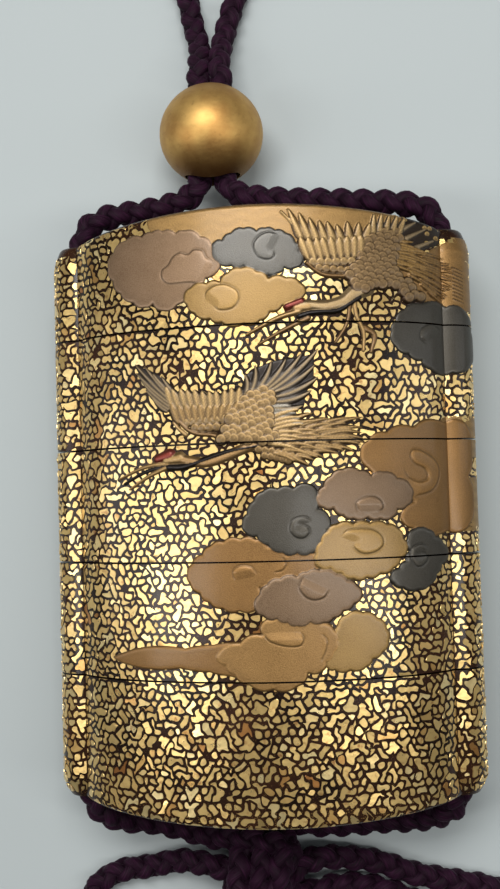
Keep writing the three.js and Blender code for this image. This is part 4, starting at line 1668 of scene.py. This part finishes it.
@dataclass
class FlakeGround:
    """Gold flakes set close together all round, with dark lacquer between them."""

    form: CaseForm
    relief: ReliefSheet
    flake: Material
    pitch: float = 0.99
    jitter: float = 0.3
    half_gap: float = 0.146
    rough_edge: float = 0.055
    merge_share: float = 0.5
    lift: float = 0.05
    bevel: float = 0.05
    finest: float = 0.11
    smallest: float = 0.16
    smallest_cut: float = 0.09
    groove_gap: float = 0.07
    foot: float = 0.02
    unevenness: float = 0.022
    tallest_crest: float = 0.12
    seed: int = 5

    def __post_init__(self) -> None:
        """Work out the honeycomb that the flakes come from."""
        self.luck = np.random.default_rng(self.seed)
        self.columns = int(round(self.form.round_length / self.pitch))
        self.step = self.form.round_length / self.columns
        self.radius = self.pitch / math.sqrt(3)
        self.rows = int(math.ceil(2 * self.form.half_height / (1.5 * self.radius))) + 2

    def corner_points(self) -> Array:
        """The honeycomb's corners, moved about at random, by row and half column.

        Returns:
            An X and a Y for each corner.
        """
        row, half = np.meshgrid(np.arange(self.rows + 1), np.arange(2 * self.columns), indexing="ij")
        x = half * self.step / 2
        y = -self.form.half_height + row * 1.5 * self.radius
        y = y - np.where((row + half) % 2 == 0, self.radius, self.radius / 2)
        furthest = 0.34 * self.pitch
        shift = self.luck.normal(0, self.jitter * self.pitch / 1.6, (*x.shape, 2)).clip(-furthest, furthest)
        return np.stack([x + shift[..., 0], y + shift[..., 1]], axis=-1)

    def clusters(self) -> list[list[tuple[int, int]]]:
        """Cells grouped by chance into flakes of one, two or three.

        Returns:
            Each flake's cells, by row and column.
        """
        group = {}
        members = {}
        cells = [(row, column) for row in range(self.rows) for column in range(self.columns)]
        for cell in cells:
            group[cell] = cell
            members[cell] = [cell]
        order = self.luck.permutation(len(cells))
        chance = self.luck.random(len(cells))
        side = self.luck.integers(0, 3, len(cells))
        for number in order:
            if chance[number] > self.merge_share:
                continue
            row, column = cells[number]
            shift = row % 2
            options = [(row, column + 1), (row + 1, column + shift), (row + 1, column + shift - 1)]
            other = (options[side[number]][0], options[side[number]][1] % self.columns)
            if other not in group:
                continue
            a, b = group[(row, column)], group[other]
            if a == b or len(members[a]) + len(members[b]) > 3:
                continue
            members[a] += members[b]
            for cell in members.pop(b):
                group[cell] = a
        return list(members.values())

    def loop(self, cells: list[tuple[int, int]]) -> list[tuple[int, int]]:
        """The corners round a group of cells, in order.

        Args:
            cells: the group's cells.

        Returns:
            The corners, by row and half column.
        """
        edges = {}
        for row, column in cells:
            half = 2 * column + row % 2
            ring = [(row, half + side) for side in (-1, 0, 1)]
            ring += [(row + 1, half + side) for side in (1, 0, -1)]
            ring = [(r, h % (2 * self.columns)) for r, h in ring]
            for a, b in zip(ring, ring[1:] + ring[:1]):
                if (b, a) in edges:
                    del edges[(b, a)]
                else:
                    edges[(a, b)] = True
        follow = dict(edges.keys())
        start = next(iter(follow))
        chain = [start]
        while follow[chain[-1]] != start and len(chain) < 24:
            chain.append(follow[chain[-1]])
        return chain

    def outline(self, chain: list[tuple[int, int]], corners: Array) -> Array | None:
        """One flake's outline: the group's corners drawn in by half a gap and rounded.

        Args:
            chain: the corners round the group.
            corners: where each corner is.

        Returns:
            The outline, or None for a speck.
        """
        points = np.array([corners[row, half] for row, half in chain])
        length = self.form.round_length
        points[:, 0] -= np.round((points[:, 0] - points[0, 0]) / length) * length
        before, after = np.roll(points, 1, axis=0), np.roll(points, -1, axis=0)
        a, b = points - before, after - points
        a /= np.linalg.norm(a, axis=1)[:, None] + 1e-9
        b /= np.linalg.norm(b, axis=1)[:, None] + 1e-9
        inward = np.column_stack([-(a + b)[:, 1], (a + b)[:, 0]])
        size = np.linalg.norm(inward, axis=1)[:, None] + 1e-6
        reach = self.half_gap / np.clip(size / 2, 0.55, 1)
        points = points + inward / size * reach
        points = points + self.luck.normal(0, self.rough_edge, points.shape)
        for share in (0.25, 0.25):
            near, far = points * (1 - share), points * share
            after = np.roll(points, -1, axis=0)
            points = np.stack([near + after * share, far + after * (1 - share)], axis=1).reshape(-1, 2)
        walk = np.cumsum(np.hypot(*(points - np.roll(points, 1, axis=0)).T))
        points = points[np.diff(np.floor(walk / self.finest), prepend=-1.0) > 0]
        return points if self.area(points) > self.smallest else None

    @staticmethod
    def area(points: Array) -> float:
        """An outline's area."""
        after = np.roll(points, -1, axis=0)
        return 0.5 * float(np.sum(points[:, 0] * after[:, 1] - after[:, 0] * points[:, 1]))

    def build(self) -> list[Object]:
        """Make each section's flakes.

        Returns:
            The sections' flakes, from the lid down.
        """
        corners = self.corner_points()
        outlines = [self.outline(self.loop(cells), corners) for cells in self.clusters()]
        outlines = [points for points in outlines if points is not None]
        middles = np.array([points.mean(axis=0) for points in outlines])
        lowest = np.array([self.relief.height_at(points[:, 0], points[:, 1]).min() for points in outlines])
        free = lowest < self.foot
        tone = self.luck.random(len(outlines))
        made = []
        for node, (low, high) in zip(SECTION_NODES, self.form.spans):
            near = (middles[:, 1] > low - 2 * self.pitch) & (middles[:, 1] < high + 2 * self.pitch) & free
            chosen = [(outlines[k], tone[k]) for k in np.flatnonzero(near)]
            made.append(self.piece(f"{node}_flakes", chosen, low, high))
        return made

    @staticmethod
    def clip(points: Array, axis: int, limit: float, way: float) -> Array:
        """Keep an outline's part on one side of a line.

        Args:
            points: the outline's corners in order.
            axis: 0 for a line of equal walk, 1 for a line of equal height.
            limit: where the line is.
            way: 1 keeps what lies past it, -1 what lies before it.

        Returns:
            The outline that is left, perhaps empty.
        """
        past = (points[:, axis] - limit) * way
        if len(points) == 0 or past.min() >= 0:
            return points
        kept = []
        for k, here in enumerate(points):
            after = (k + 1) % len(points)
            if past[k] >= 0:
                kept.append(here)
            if past[k] * past[after] < 0:
                share = past[k] / (past[k] - past[after])
                kept.append(here + (points[after] - here) * share)
        return np.array(kept).reshape(-1, 2)

    def split(self, points: Array) -> list[Array]:
        """Part an outline where it crosses a runner's groove.

        Args:
            points: the outline.

        Returns:
            One outline or two.
        """
        for groove in (self.form.groove_walk, self.form.round_length / 2 - self.form.groove_walk):
            for line in (groove, self.form.round_length - groove):
                if points[:, 0].min() < line < points[:, 0].max():
                    return [self.clip(points, 0, line + way * self.groove_gap, way) for way in (-1.0, 1.0)]
        return [points]

    def crest(self, middle: Array, corners: Array) -> float:
        """How far a runner's crest would stand through a flat flake laid over it, in millimetres.

        Args:
            middle: the flake's middle.
            corners: its corners.

        Returns:
            The height, nothing off the runners.
        """
        if abs(float(self.form.across(middle[0]))) < self.form.groove_x:
            return 0.0
        ring = self.form.on_surface(corners[:, 0], corners[:, 1], np.zeros(len(corners)))
        centre = self.form.on_surface(middle[:1], middle[1:], np.zeros(1))
        return min(float(np.linalg.norm(ring.mean(axis=0) - centre[0])), self.tallest_crest)

    def piece(self, name: str, chosen: list[tuple[Array, float]], low: float, high: float) -> Object:
        """One section's flakes, cut at its seams and wrapped round the case.

        Args:
            name: the object's name.
            chosen: outlines and their tones.
            low: the section's lower seam.
            high: its upper seam.

        Returns:
            The object.
        """
        spots, faces, tones = [], [], []
        count = 0
        for whole, tone in chosen:
            for points in self.split(whole):
                if len(points) < 3:
                    continue
                bottom, top = self.form.dressed_ends(self.form.across(points[:, 0]))
                points = self.clip(points, 1, max(low, float(bottom.max())), 1.0)
                points = self.clip(points, 1, min(high, float(top.min())), -1.0)
                area = self.area(points)
                if area < self.smallest_cut:
                    continue
                middle = points.mean(axis=0)
                inner = middle + (points - middle) * (1 - self.bevel / math.sqrt(area))
                raised = self.lift + self.crest(middle, inner)
                tilt = self.luck.normal(0, self.unevenness, 2)
                size = len(points)
                spots.append(np.column_stack([points, np.full(size, -self.foot)]))
                spots.append(np.column_stack([inner, raised + (inner - middle) @ tilt]))
                ring = np.arange(size)
                after = (ring + 1) % size
                faces += (np.column_stack([ring, after, after + size, ring + size]) + count).tolist()
                faces.append(list(range(count + size, count + 2 * size)))
                tones += [tone] * (size + 1)
                count += 2 * size
        made = make_object(name, self.form.on_surface(*np.vstack(spots).T), faces, [self.flake])
        store = made.data.attributes.new("tone", "FLOAT", "FACE")
        store.data.foreach_set("value", np.array(tones, np.float32))
        smooth(made, 30)
        return made


@dataclass
class SilkCord:
    """One silk cord, a four-strand round braid, with the points it follows in millimetres."""

    material: Material
    form: CaseForm
    diameter: float = 3.3
    lay_pitch: float = 5.7
    strand_half_width: float = 0.9
    strand_half_thick: float = 0.76
    ring: float = 0.80
    weave: float = 0.24
    lean: float = 0.26
    step: float = 0.36
    strand_sides: int = 10
    strand_x: Point = (-7.9, -4.5)
    strand_z: float = 7.0
    rest_z: float = 1.7
    wrap_x: Point = (-6.6, 2.2)
    wrap_centre: Point = (-48.9, 4.85)
    wrap_half: Point = (4.9, 3.15)
    wrap_points: int = 27

    def wraps(self) -> list[Spot]:
        """Three turns about the bundle in the middle of the knot.

        Returns:
            The points.
        """
        (centre_y, centre_z), (half_y, half_z) = self.wrap_centre, self.wrap_half
        points = []
        for k in range(self.wrap_points):
            turn = -0.5 * math.pi - 2 * math.pi * k / 8
            x = self.wrap_x[0] + (self.wrap_x[1] - self.wrap_x[0]) * k / (self.wrap_points - 1)
            points.append((x, centre_y + half_y * math.cos(turn), centre_z + half_z * math.sin(turn)))
        return points

    def route(self) -> list[Spot]:
        """The points that the cord follows, from end to end.

        Returns:
            The points.
        """
        x, z, rest = self.form.runner_x, self.form.mid_z, self.rest_z
        (left, right), high = self.strand_x, self.strand_z
        return [
            # From the knot's middle round the bow's left loop
            (-1.0, -49.4, 4.6), (-9.6, -47.2, 4.4), (-13.5, -47.2, 2.8), (-18, -48.3, rest),
            (-22.6, -49.1, rest), (-25.9, -51.6, rest), (-26.2, -55.9, rest), (-23.2, -59.2, rest),
            (-18.6, -59.8, rest), (-13.8, -57.4, 2.2), (-9.6, -54, 3.4),
            # Through the knot and round the bow's right loop
            (-2.5, -52.6, 4.2), (4.6, -51.0, 3.2), (9.4, -50.5, 2.0), (14.8, -51.6, rest),
            (20.2, -54.4, rest), (25.8, -60.2, rest), (31, -62.6, rest), (34.8, -59.3, rest),
            (33.6, -54.3, rest), (29, -51.3, rest), (23.5, -50.2, rest), (18, -49.2, rest), (13, -47.6, rest),
            (8.5, -46.7, 2.8), (4.6, -46.5, 4.2),
            # Back through the knot, about it, and out at its top
            (0.5, -48.4, 4.4), (-5.4, -48.8, 4.0), *self.wraps(), (0.8, -48.0, 4.6), (1.4, -44.9, 6.0),
            (-3.4, -43.4, 6.4),
            # Up through the left runner to the bead
            (-9, -43.4, 4.6), (-13.4, -42.2, 4.6), (-17, -41.1, 5.8), (-20.1, -40.3, 7.7),
            (-22.4, -38.5, 10.2), (-x, -36, z), (-x, -33, z), (-x, -16, z), (-x, 0, z), (-x, 16, z),
            (-x, 32.5, z), (-x, 35.3, z), (-22.5, 38, 11.2), (-20.2, 39.5, 10.4), (-16.8, 40.2, 9.5),
            (-13.2, 40.9, 8.6), (-10.3, 42, 7.8), (-8.2, 43.7, 7.1), (left, 45.2, high),
            # Through the bead, round the free loop and back
            (left, 51.3, high), (left, 57.2, high), (-7.8, 60.8, 5.9), (-7.9, 64.4, 3.6), (-8.9, 68.4, 2.1),
            (-9.7, 72.5, rest), (-12.2, 80, rest), (-15.7, 90, rest), (-18.8, 101, rest), (-19.6, 112, rest),
            (-17, 122.5, rest), (-11.6, 129.8, rest), (-5.3, 132.2, rest), (0.8, 129.4, rest), (6, 122, rest),
            (8.3, 111.5, rest), (7.3, 100.5, rest), (3.9, 90, rest), (0.2, 80, rest), (-2.9, 72.2, rest),
            (-4.2, 68, 2.1), (-4.9, 64.2, 3.6), (-5, 60.8, 5.9), (right, 57.2, high), (right, 51.3, high),
            # Down through the right runner to the knot
            (right, 45.2, high), (-4.1, 43.7, 7.1), (-2.1, 42.4, 7.6), (0.8, 41.7, 8), (5, 41.0, 8.7),
            (10, 40.5, 9.3), (15, 39.9, 9.9), (19.6, 39.2, 10.6), (22.3, 37.9, 11.3), (x, 35.3, z),
            (x, 32.5, z), (x, 16, z), (x, 0, z), (x, -16, z), (x, -33, z), (x, -36, z), (22.4, -38.3, 10.2),
            (20.1, -39.8, 8.1), (17, -40.8, 5.9), (13.4, -41.4, 4.4), (9.4, -42.0, 3.6), (4.6, -42.2, 3.2),
            (0.2, -41.8, 3.0), (-3.6, -42.6, 3.2), (-4.8, -45.4, 3.8),
        ]

    @staticmethod
    def spline(points: Sequence[Sequence[float]], step: float) -> Array:
        """A smooth curve through the points, in even steps.

        Args:
            points: the points in order.
            step: the step's length.

        Returns:
            The curve's points.
        """
        spots = np.array(points, float)
        spots = np.vstack([2 * spots[0] - spots[1], spots, 2 * spots[-1] - spots[-2]])
        fine = []
        for p0, p1, p2, p3 in zip(spots, spots[1:], spots[2:], spots[3:]):
            steps = [max(np.linalg.norm(b - a), 1e-6) ** 0.5 for a, b in ((p0, p1), (p1, p2), (p2, p3))]
            knots = np.cumsum([0.0, *steps])
            t = np.linspace(knots[1], knots[2], 24, endpoint=False)[:, None]
            a1 = ((knots[1] - t) * p0 + (t - knots[0]) * p1) / (knots[1] - knots[0])
            a2 = ((knots[2] - t) * p1 + (t - knots[1]) * p2) / (knots[2] - knots[1])
            a3 = ((knots[3] - t) * p2 + (t - knots[2]) * p3) / (knots[3] - knots[2])
            b1 = ((knots[2] - t) * a1 + (t - knots[0]) * a2) / (knots[2] - knots[0])
            b2 = ((knots[3] - t) * a2 + (t - knots[1]) * a3) / (knots[3] - knots[1])
            fine.append(((knots[2] - t) * b1 + (t - knots[1]) * b2) / (knots[2] - knots[1]))
        fine = np.vstack([*fine, spots[-2:-1]])
        walk = np.concatenate([[0], np.cumsum(np.linalg.norm(np.diff(fine, axis=0), axis=1))])
        even = np.linspace(0, walk[-1], int(walk[-1] / step) + 1)
        return np.column_stack([np.interp(even, walk, fine[:, k]) for k in range(3)])

    @staticmethod
    def frames(line: Array) -> tuple[Array, Array]:
        """Two directions across the cord at each point, turned as little as can be.

        Args:
            line: the cord's centreline.

        Returns:
            The directions up and aside.
        """
        ahead = np.gradient(line, axis=0)
        ahead /= np.linalg.norm(ahead, axis=1)[:, None]
        up = np.zeros_like(line)
        current = np.array([0.0, 0.0, 1.0])
        for k, way in enumerate(ahead):
            current = current - way * (current @ way)
            current = current / np.linalg.norm(current)
            up[k] = current
        return up, np.cross(ahead, up)

    def strand(
        self, line: Array, walk: Array, across: tuple[Array, Array], way: int, number: int
    ) -> tuple[Array, Array]:
        """One strand of the braid, which rises over and dips under those that turn the other way.

        Args:
            line: the cord's centreline.
            walk: how far along the cord each point lies.
            across: two directions across the cord at each point.
            way: 1 for a strand that turns one way, -1 for the other.
            number: 0 or 1 for the two strands that turn this way.

        Returns:
            The strand's corners, and for each one how far around and along it lies and how much painted light
            it gets.
        """
        swing = 4 * math.pi * walk / self.lay_pitch
        turn = way * 2 * math.pi * walk / self.lay_pitch + number * math.pi + math.pi / 4
        turn = turn - self.lean * np.sin(swing)
        outward = np.cos(turn)[:, None] * across[0] + np.sin(turn)[:, None] * across[1]
        centre = line + outward * (self.ring + way * self.weave * np.cos(swing))[:, None]
        tangent = np.gradient(centre, axis=0)
        tangent /= np.linalg.norm(tangent, axis=1)[:, None]
        aside = np.cross(tangent, outward)
        aside /= np.linalg.norm(aside, axis=1)[:, None]
        around = np.arange(self.strand_sides) * 2 * math.pi / self.strand_sides
        thick = self.strand_half_thick * np.cos(around)[None, :, None] * outward[:, None]
        wide = self.strand_half_width * np.sin(around)[None, :, None] * aside[:, None]
        # Painted light and shade: lighter where the strand rides over the others and on its outer face,
        # darker where it dips under them and in the hollows.
        high = np.clip(0.5 + 0.5 * way * np.cos(swing), 0, 1)
        painted_light = np.clip((0.35 + 0.65 * high)[:, None] * (0.55 + 0.45 * np.cos(around)), 0, 1)
        marks = np.stack(np.broadcast_arrays(around / (2 * math.pi), walk[:, None] * MM, painted_light), axis=-1)
        return (centre[:, None] + thick + wide).reshape(-1, 3), marks.reshape(-1, 3)

    def strand_faces(self, first: int, count: int) -> list[list[int]]:
        """One strand's faces, with its two ends.

        Args:
            first: the number of its first corner.
            count: how many rings of corners it has.

        Returns:
            Rows of corner numbers.
        """
        sides = self.strand_sides
        start = first + np.arange(count - 1)[:, None] * sides
        here, after = start + np.arange(sides), start + (np.arange(sides) + 1) % sides
        quads = np.stack([here, after, after + sides, here + sides], axis=-1).reshape(-1, 4).tolist()
        last = first + (count - 1) * sides
        return [*quads, list(range(first + sides - 1, first - 1, -1)), list(range(last, last + sides))]

    def build(self, partners: Sequence[Object]) -> Object:
        """Args:
            partners: the pieces that the cord goes through; not used.

        Returns:
            The object.
        """
        line = self.spline(self.route(), self.step)
        across = self.frames(line)
        walk = np.arange(len(line)) * float(np.linalg.norm(line[1] - line[0]))
        corners, faces, marks = [], [], []
        for way in (1, -1):
            for number in (0, 1):
                faces += self.strand_faces(len(corners) * len(line) * self.strand_sides, len(line))
                spots, values = self.strand(line, walk, across, way, number)
                corners.append(spots)
                marks.append(values)
        spots = np.vstack(corners)
        spots[:, 2] = np.maximum(spots[:, 2], 0.0)
        made = make_object("silk_cord", spots, faces, [self.material])
        values = np.vstack(marks)
        for column, name in enumerate(("around", "along", "painted_light")):
            store = made.data.attributes.new(name, "FLOAT", "POINT")
            store.data.foreach_set("value", values[:, column].astype(np.float32))
        made.data.shade_smooth()
        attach(made, "root")
        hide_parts(*CORD_NODES)
        exit_point = (-self.form.runner_x * MM, -self.form.half_height * MM, self.form.mid_z * MM)
        self.diameter * MM
        return made


@dataclass
class GiltBead:
    """The round bead, bored side by side for both strands."""

    material: Material
    x: float = -6.2
    y: float = 51.15
    radius: float = 7.0
    squash: float = 0.965
    bore_half: float = 2.05
    strand_spacing: float = 3.4
    flat: float = 0.05
    unevenness: float = 0.006
    fineness: int = 96

    def build(self) -> Object:
        """Make the bead and let it stand for its solid.

        Returns:
            The object.
        """
        tools = bmesh.new()
        rings, radius = self.fineness // 2, self.radius * MM
        bmesh.ops.create_uvsphere(tools, u_segments=self.fineness, v_segments=rings, radius=radius)
        bmesh.ops.rotate(tools, verts=tools.verts, matrix=Matrix.Rotation(math.pi / 2, 3, "X"))
        for vert in tools.verts:
            swell = 1 + self.unevenness * math.sin(vert.co.x * 900 + 1) * math.cos(vert.co.z * 700)
            vert.co.y *= self.squash
            vert.co = vert.co * swell + Vector((self.x, self.y, self.radius - self.flat)) * MM
            vert.co.z = max(vert.co.z, 0.0)
        mesh = bpy.data.meshes.new("gilt_bead")
        tools.to_mesh(mesh)
        tools.free()
        made = Solids.combine(link("gilt_bead", mesh), [self.bore()], "DIFFERENCE")
        made.data.materials.clear()
        made.data.materials.append(self.material)
        smooth(made, 40)
        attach(made, "root")
        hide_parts("ojime_bead")
        return made

    def bore(self) -> Object:
        """The long round-ended passage for the two strands.

        Returns:
            The closed solid.
        """
        outline = []
        for side in (1, -1):
            for k in range(25):
                turn = math.pi * k / 24 - side * math.pi / 2
                x = self.x + side * self.strand_spacing / 2 + self.bore_half * math.cos(turn)
                outline.append((x, self.radius + self.bore_half * math.sin(turn)))
        count = len(outline)
        corners = [(x, self.y + end * 2 * self.radius, z) for end in (-1, 1) for x, z in outline]
        faces = [(k + count, (k + 1) % count + count, (k + 1) % count, k) for k in range(count)]
        faces += [tuple(range(count)), tuple(reversed(range(count, 2 * count)))]
        return make_object("bore", np.array(corners), faces, [])


@dataclass
class Studio:
    """A pale floor, soft lights and the camera over the case."""

    floor: Material
    floor_half: float = 3000.0
    floor_gap: float = 0.02
    lens: float = 44.85
    eye: Spot = (11.8, 1.43, 154.2)
    forward: Spot = (-0.094, 0.050, -0.994)
    up: Spot = (0.033, 0.998, 0.047)

    def build(self) -> None:
        """Set everything up."""
        self.camera()
        self.ground()
        self.light("overhead", (-20, 165, 340), (250, 130), 1.15, (1.0, 0.985, 0.96))
        self.light("left_strip", (-192, -38, 300), (40, 150), 0.21, (1.0, 0.985, 0.95))
        self.light("right_strip", (152, -25, 300), (30, 240), 0.3, (1.0, 0.985, 0.95))
        self.light("side", (330, 40, 160), (60, 260), 0.12, (0.95, 0.98, 1.0))
        self.light("left_side", (-330, 0, 210), (90, 240), 0.2, (0.98, 0.99, 1.0))
        world = bpy.data.worlds.new("studio")
        world.use_nodes = True
        world.node_tree.nodes["Background"].inputs["Color"].default_value = (0.80, 0.84, 0.86, 1.0)
        world.node_tree.nodes["Background"].inputs["Strength"].default_value = 0.08
        bpy.context.scene.world = world
        bpy.context.scene.view_settings.view_transform = "Standard"

    def camera(self) -> None:
        """The camera at the photographed angle."""
        data = bpy.data.cameras.new("camera")
        data.lens = self.lens
        data.sensor_width = 36.0
        data.clip_start = 0.005
        camera = link("camera", data)
        back = -Vector(self.forward).normalized()
        right = Vector(self.up).cross(back).normalized()
        up = back.cross(right)
        turn = Matrix((right, up, back)).transposed()
        camera.matrix_world = Matrix.Translation(Vector(self.eye) * MM) @ turn.to_4x4()
        bpy.context.scene.camera = camera

    def ground(self) -> None:
        """The floor, well past every view."""
        corners = [
            (x * self.floor_half, y * self.floor_half, -self.floor_gap)
            for x, y in ((-1, -1), (1, -1), (1, 1), (-1, 1))
        ]
        make_object("floor", np.array(corners), [(0, 1, 2, 3)], [self.floor])

    @staticmethod
    def light(name: str, place: Sequence[float], size: Sequence[float], power: float, colour: Colour) -> None:
        """One rectangular soft light that looks at the case.

        Args:
            name: the light's name.
            place: where it is, in millimetres.
            size: its width and height in millimetres.
            power: its power in watts.
            colour: its colour.
        """
        data = bpy.data.lights.new(name, "AREA")
        data.shape = "RECTANGLE"
        data.size, data.size_y = size[0] * MM, size[1] * MM
        data.energy = power
        data.color = colour
        lamp = link(name, data)
        lamp.location = Vector(place) * MM
        lamp.rotation_euler = (-lamp.location).to_track_quat("-Z", "Y").to_euler()


def report(piece: Object) -> None:
    """Log a piece's name and size."""
    LOG.info("%s has %d faces", piece.name, len(piece.data.polygons))


def dress(piece: Object) -> None:
    """Hold a piece of decoration to the case and report it.

    Args:
        piece: the piece.
    """
    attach(piece, "root")
    report(piece)


def dress_picture(form: CaseForm) -> ReliefSheet:
    """Draw the picture and make its raised pieces, one for each section.

    Args:
        form: the closed case's form.

    Returns:
        The picture's field, for the flakes to keep clear of.
    """
    sheet = ReliefSheet(form)
    Picture().draw(sheet)
    powder = PowderPicture().build()
    for node, (low, high) in zip(SECTION_NODES, form.spans):
        piece = sheet.piece(f"{node}_picture", low, high, powder)
        if piece is not None:
            dress(piece)
    return sheet


def main() -> None:
    """Build the camera, the cord, the bead, the cases and their decoration."""
    logging.basicConfig(level=logging.INFO)
    form = CaseForm()
    Studio(PaleFloor().build()).build()
    bead = GiltBead(SatinGilt().build()).build()
    cord = SilkCord(PurpleSilk().build(), form).build([bead])
    for piece in (bead, cord, *NestedCases(form, LacquerGround().build()).build()):
        report(piece)
    for piece in FlakeGround(form, dress_picture(form), GoldFlake().build()).build():
        dress(piece)


if __name__ == "__main__":
    main()
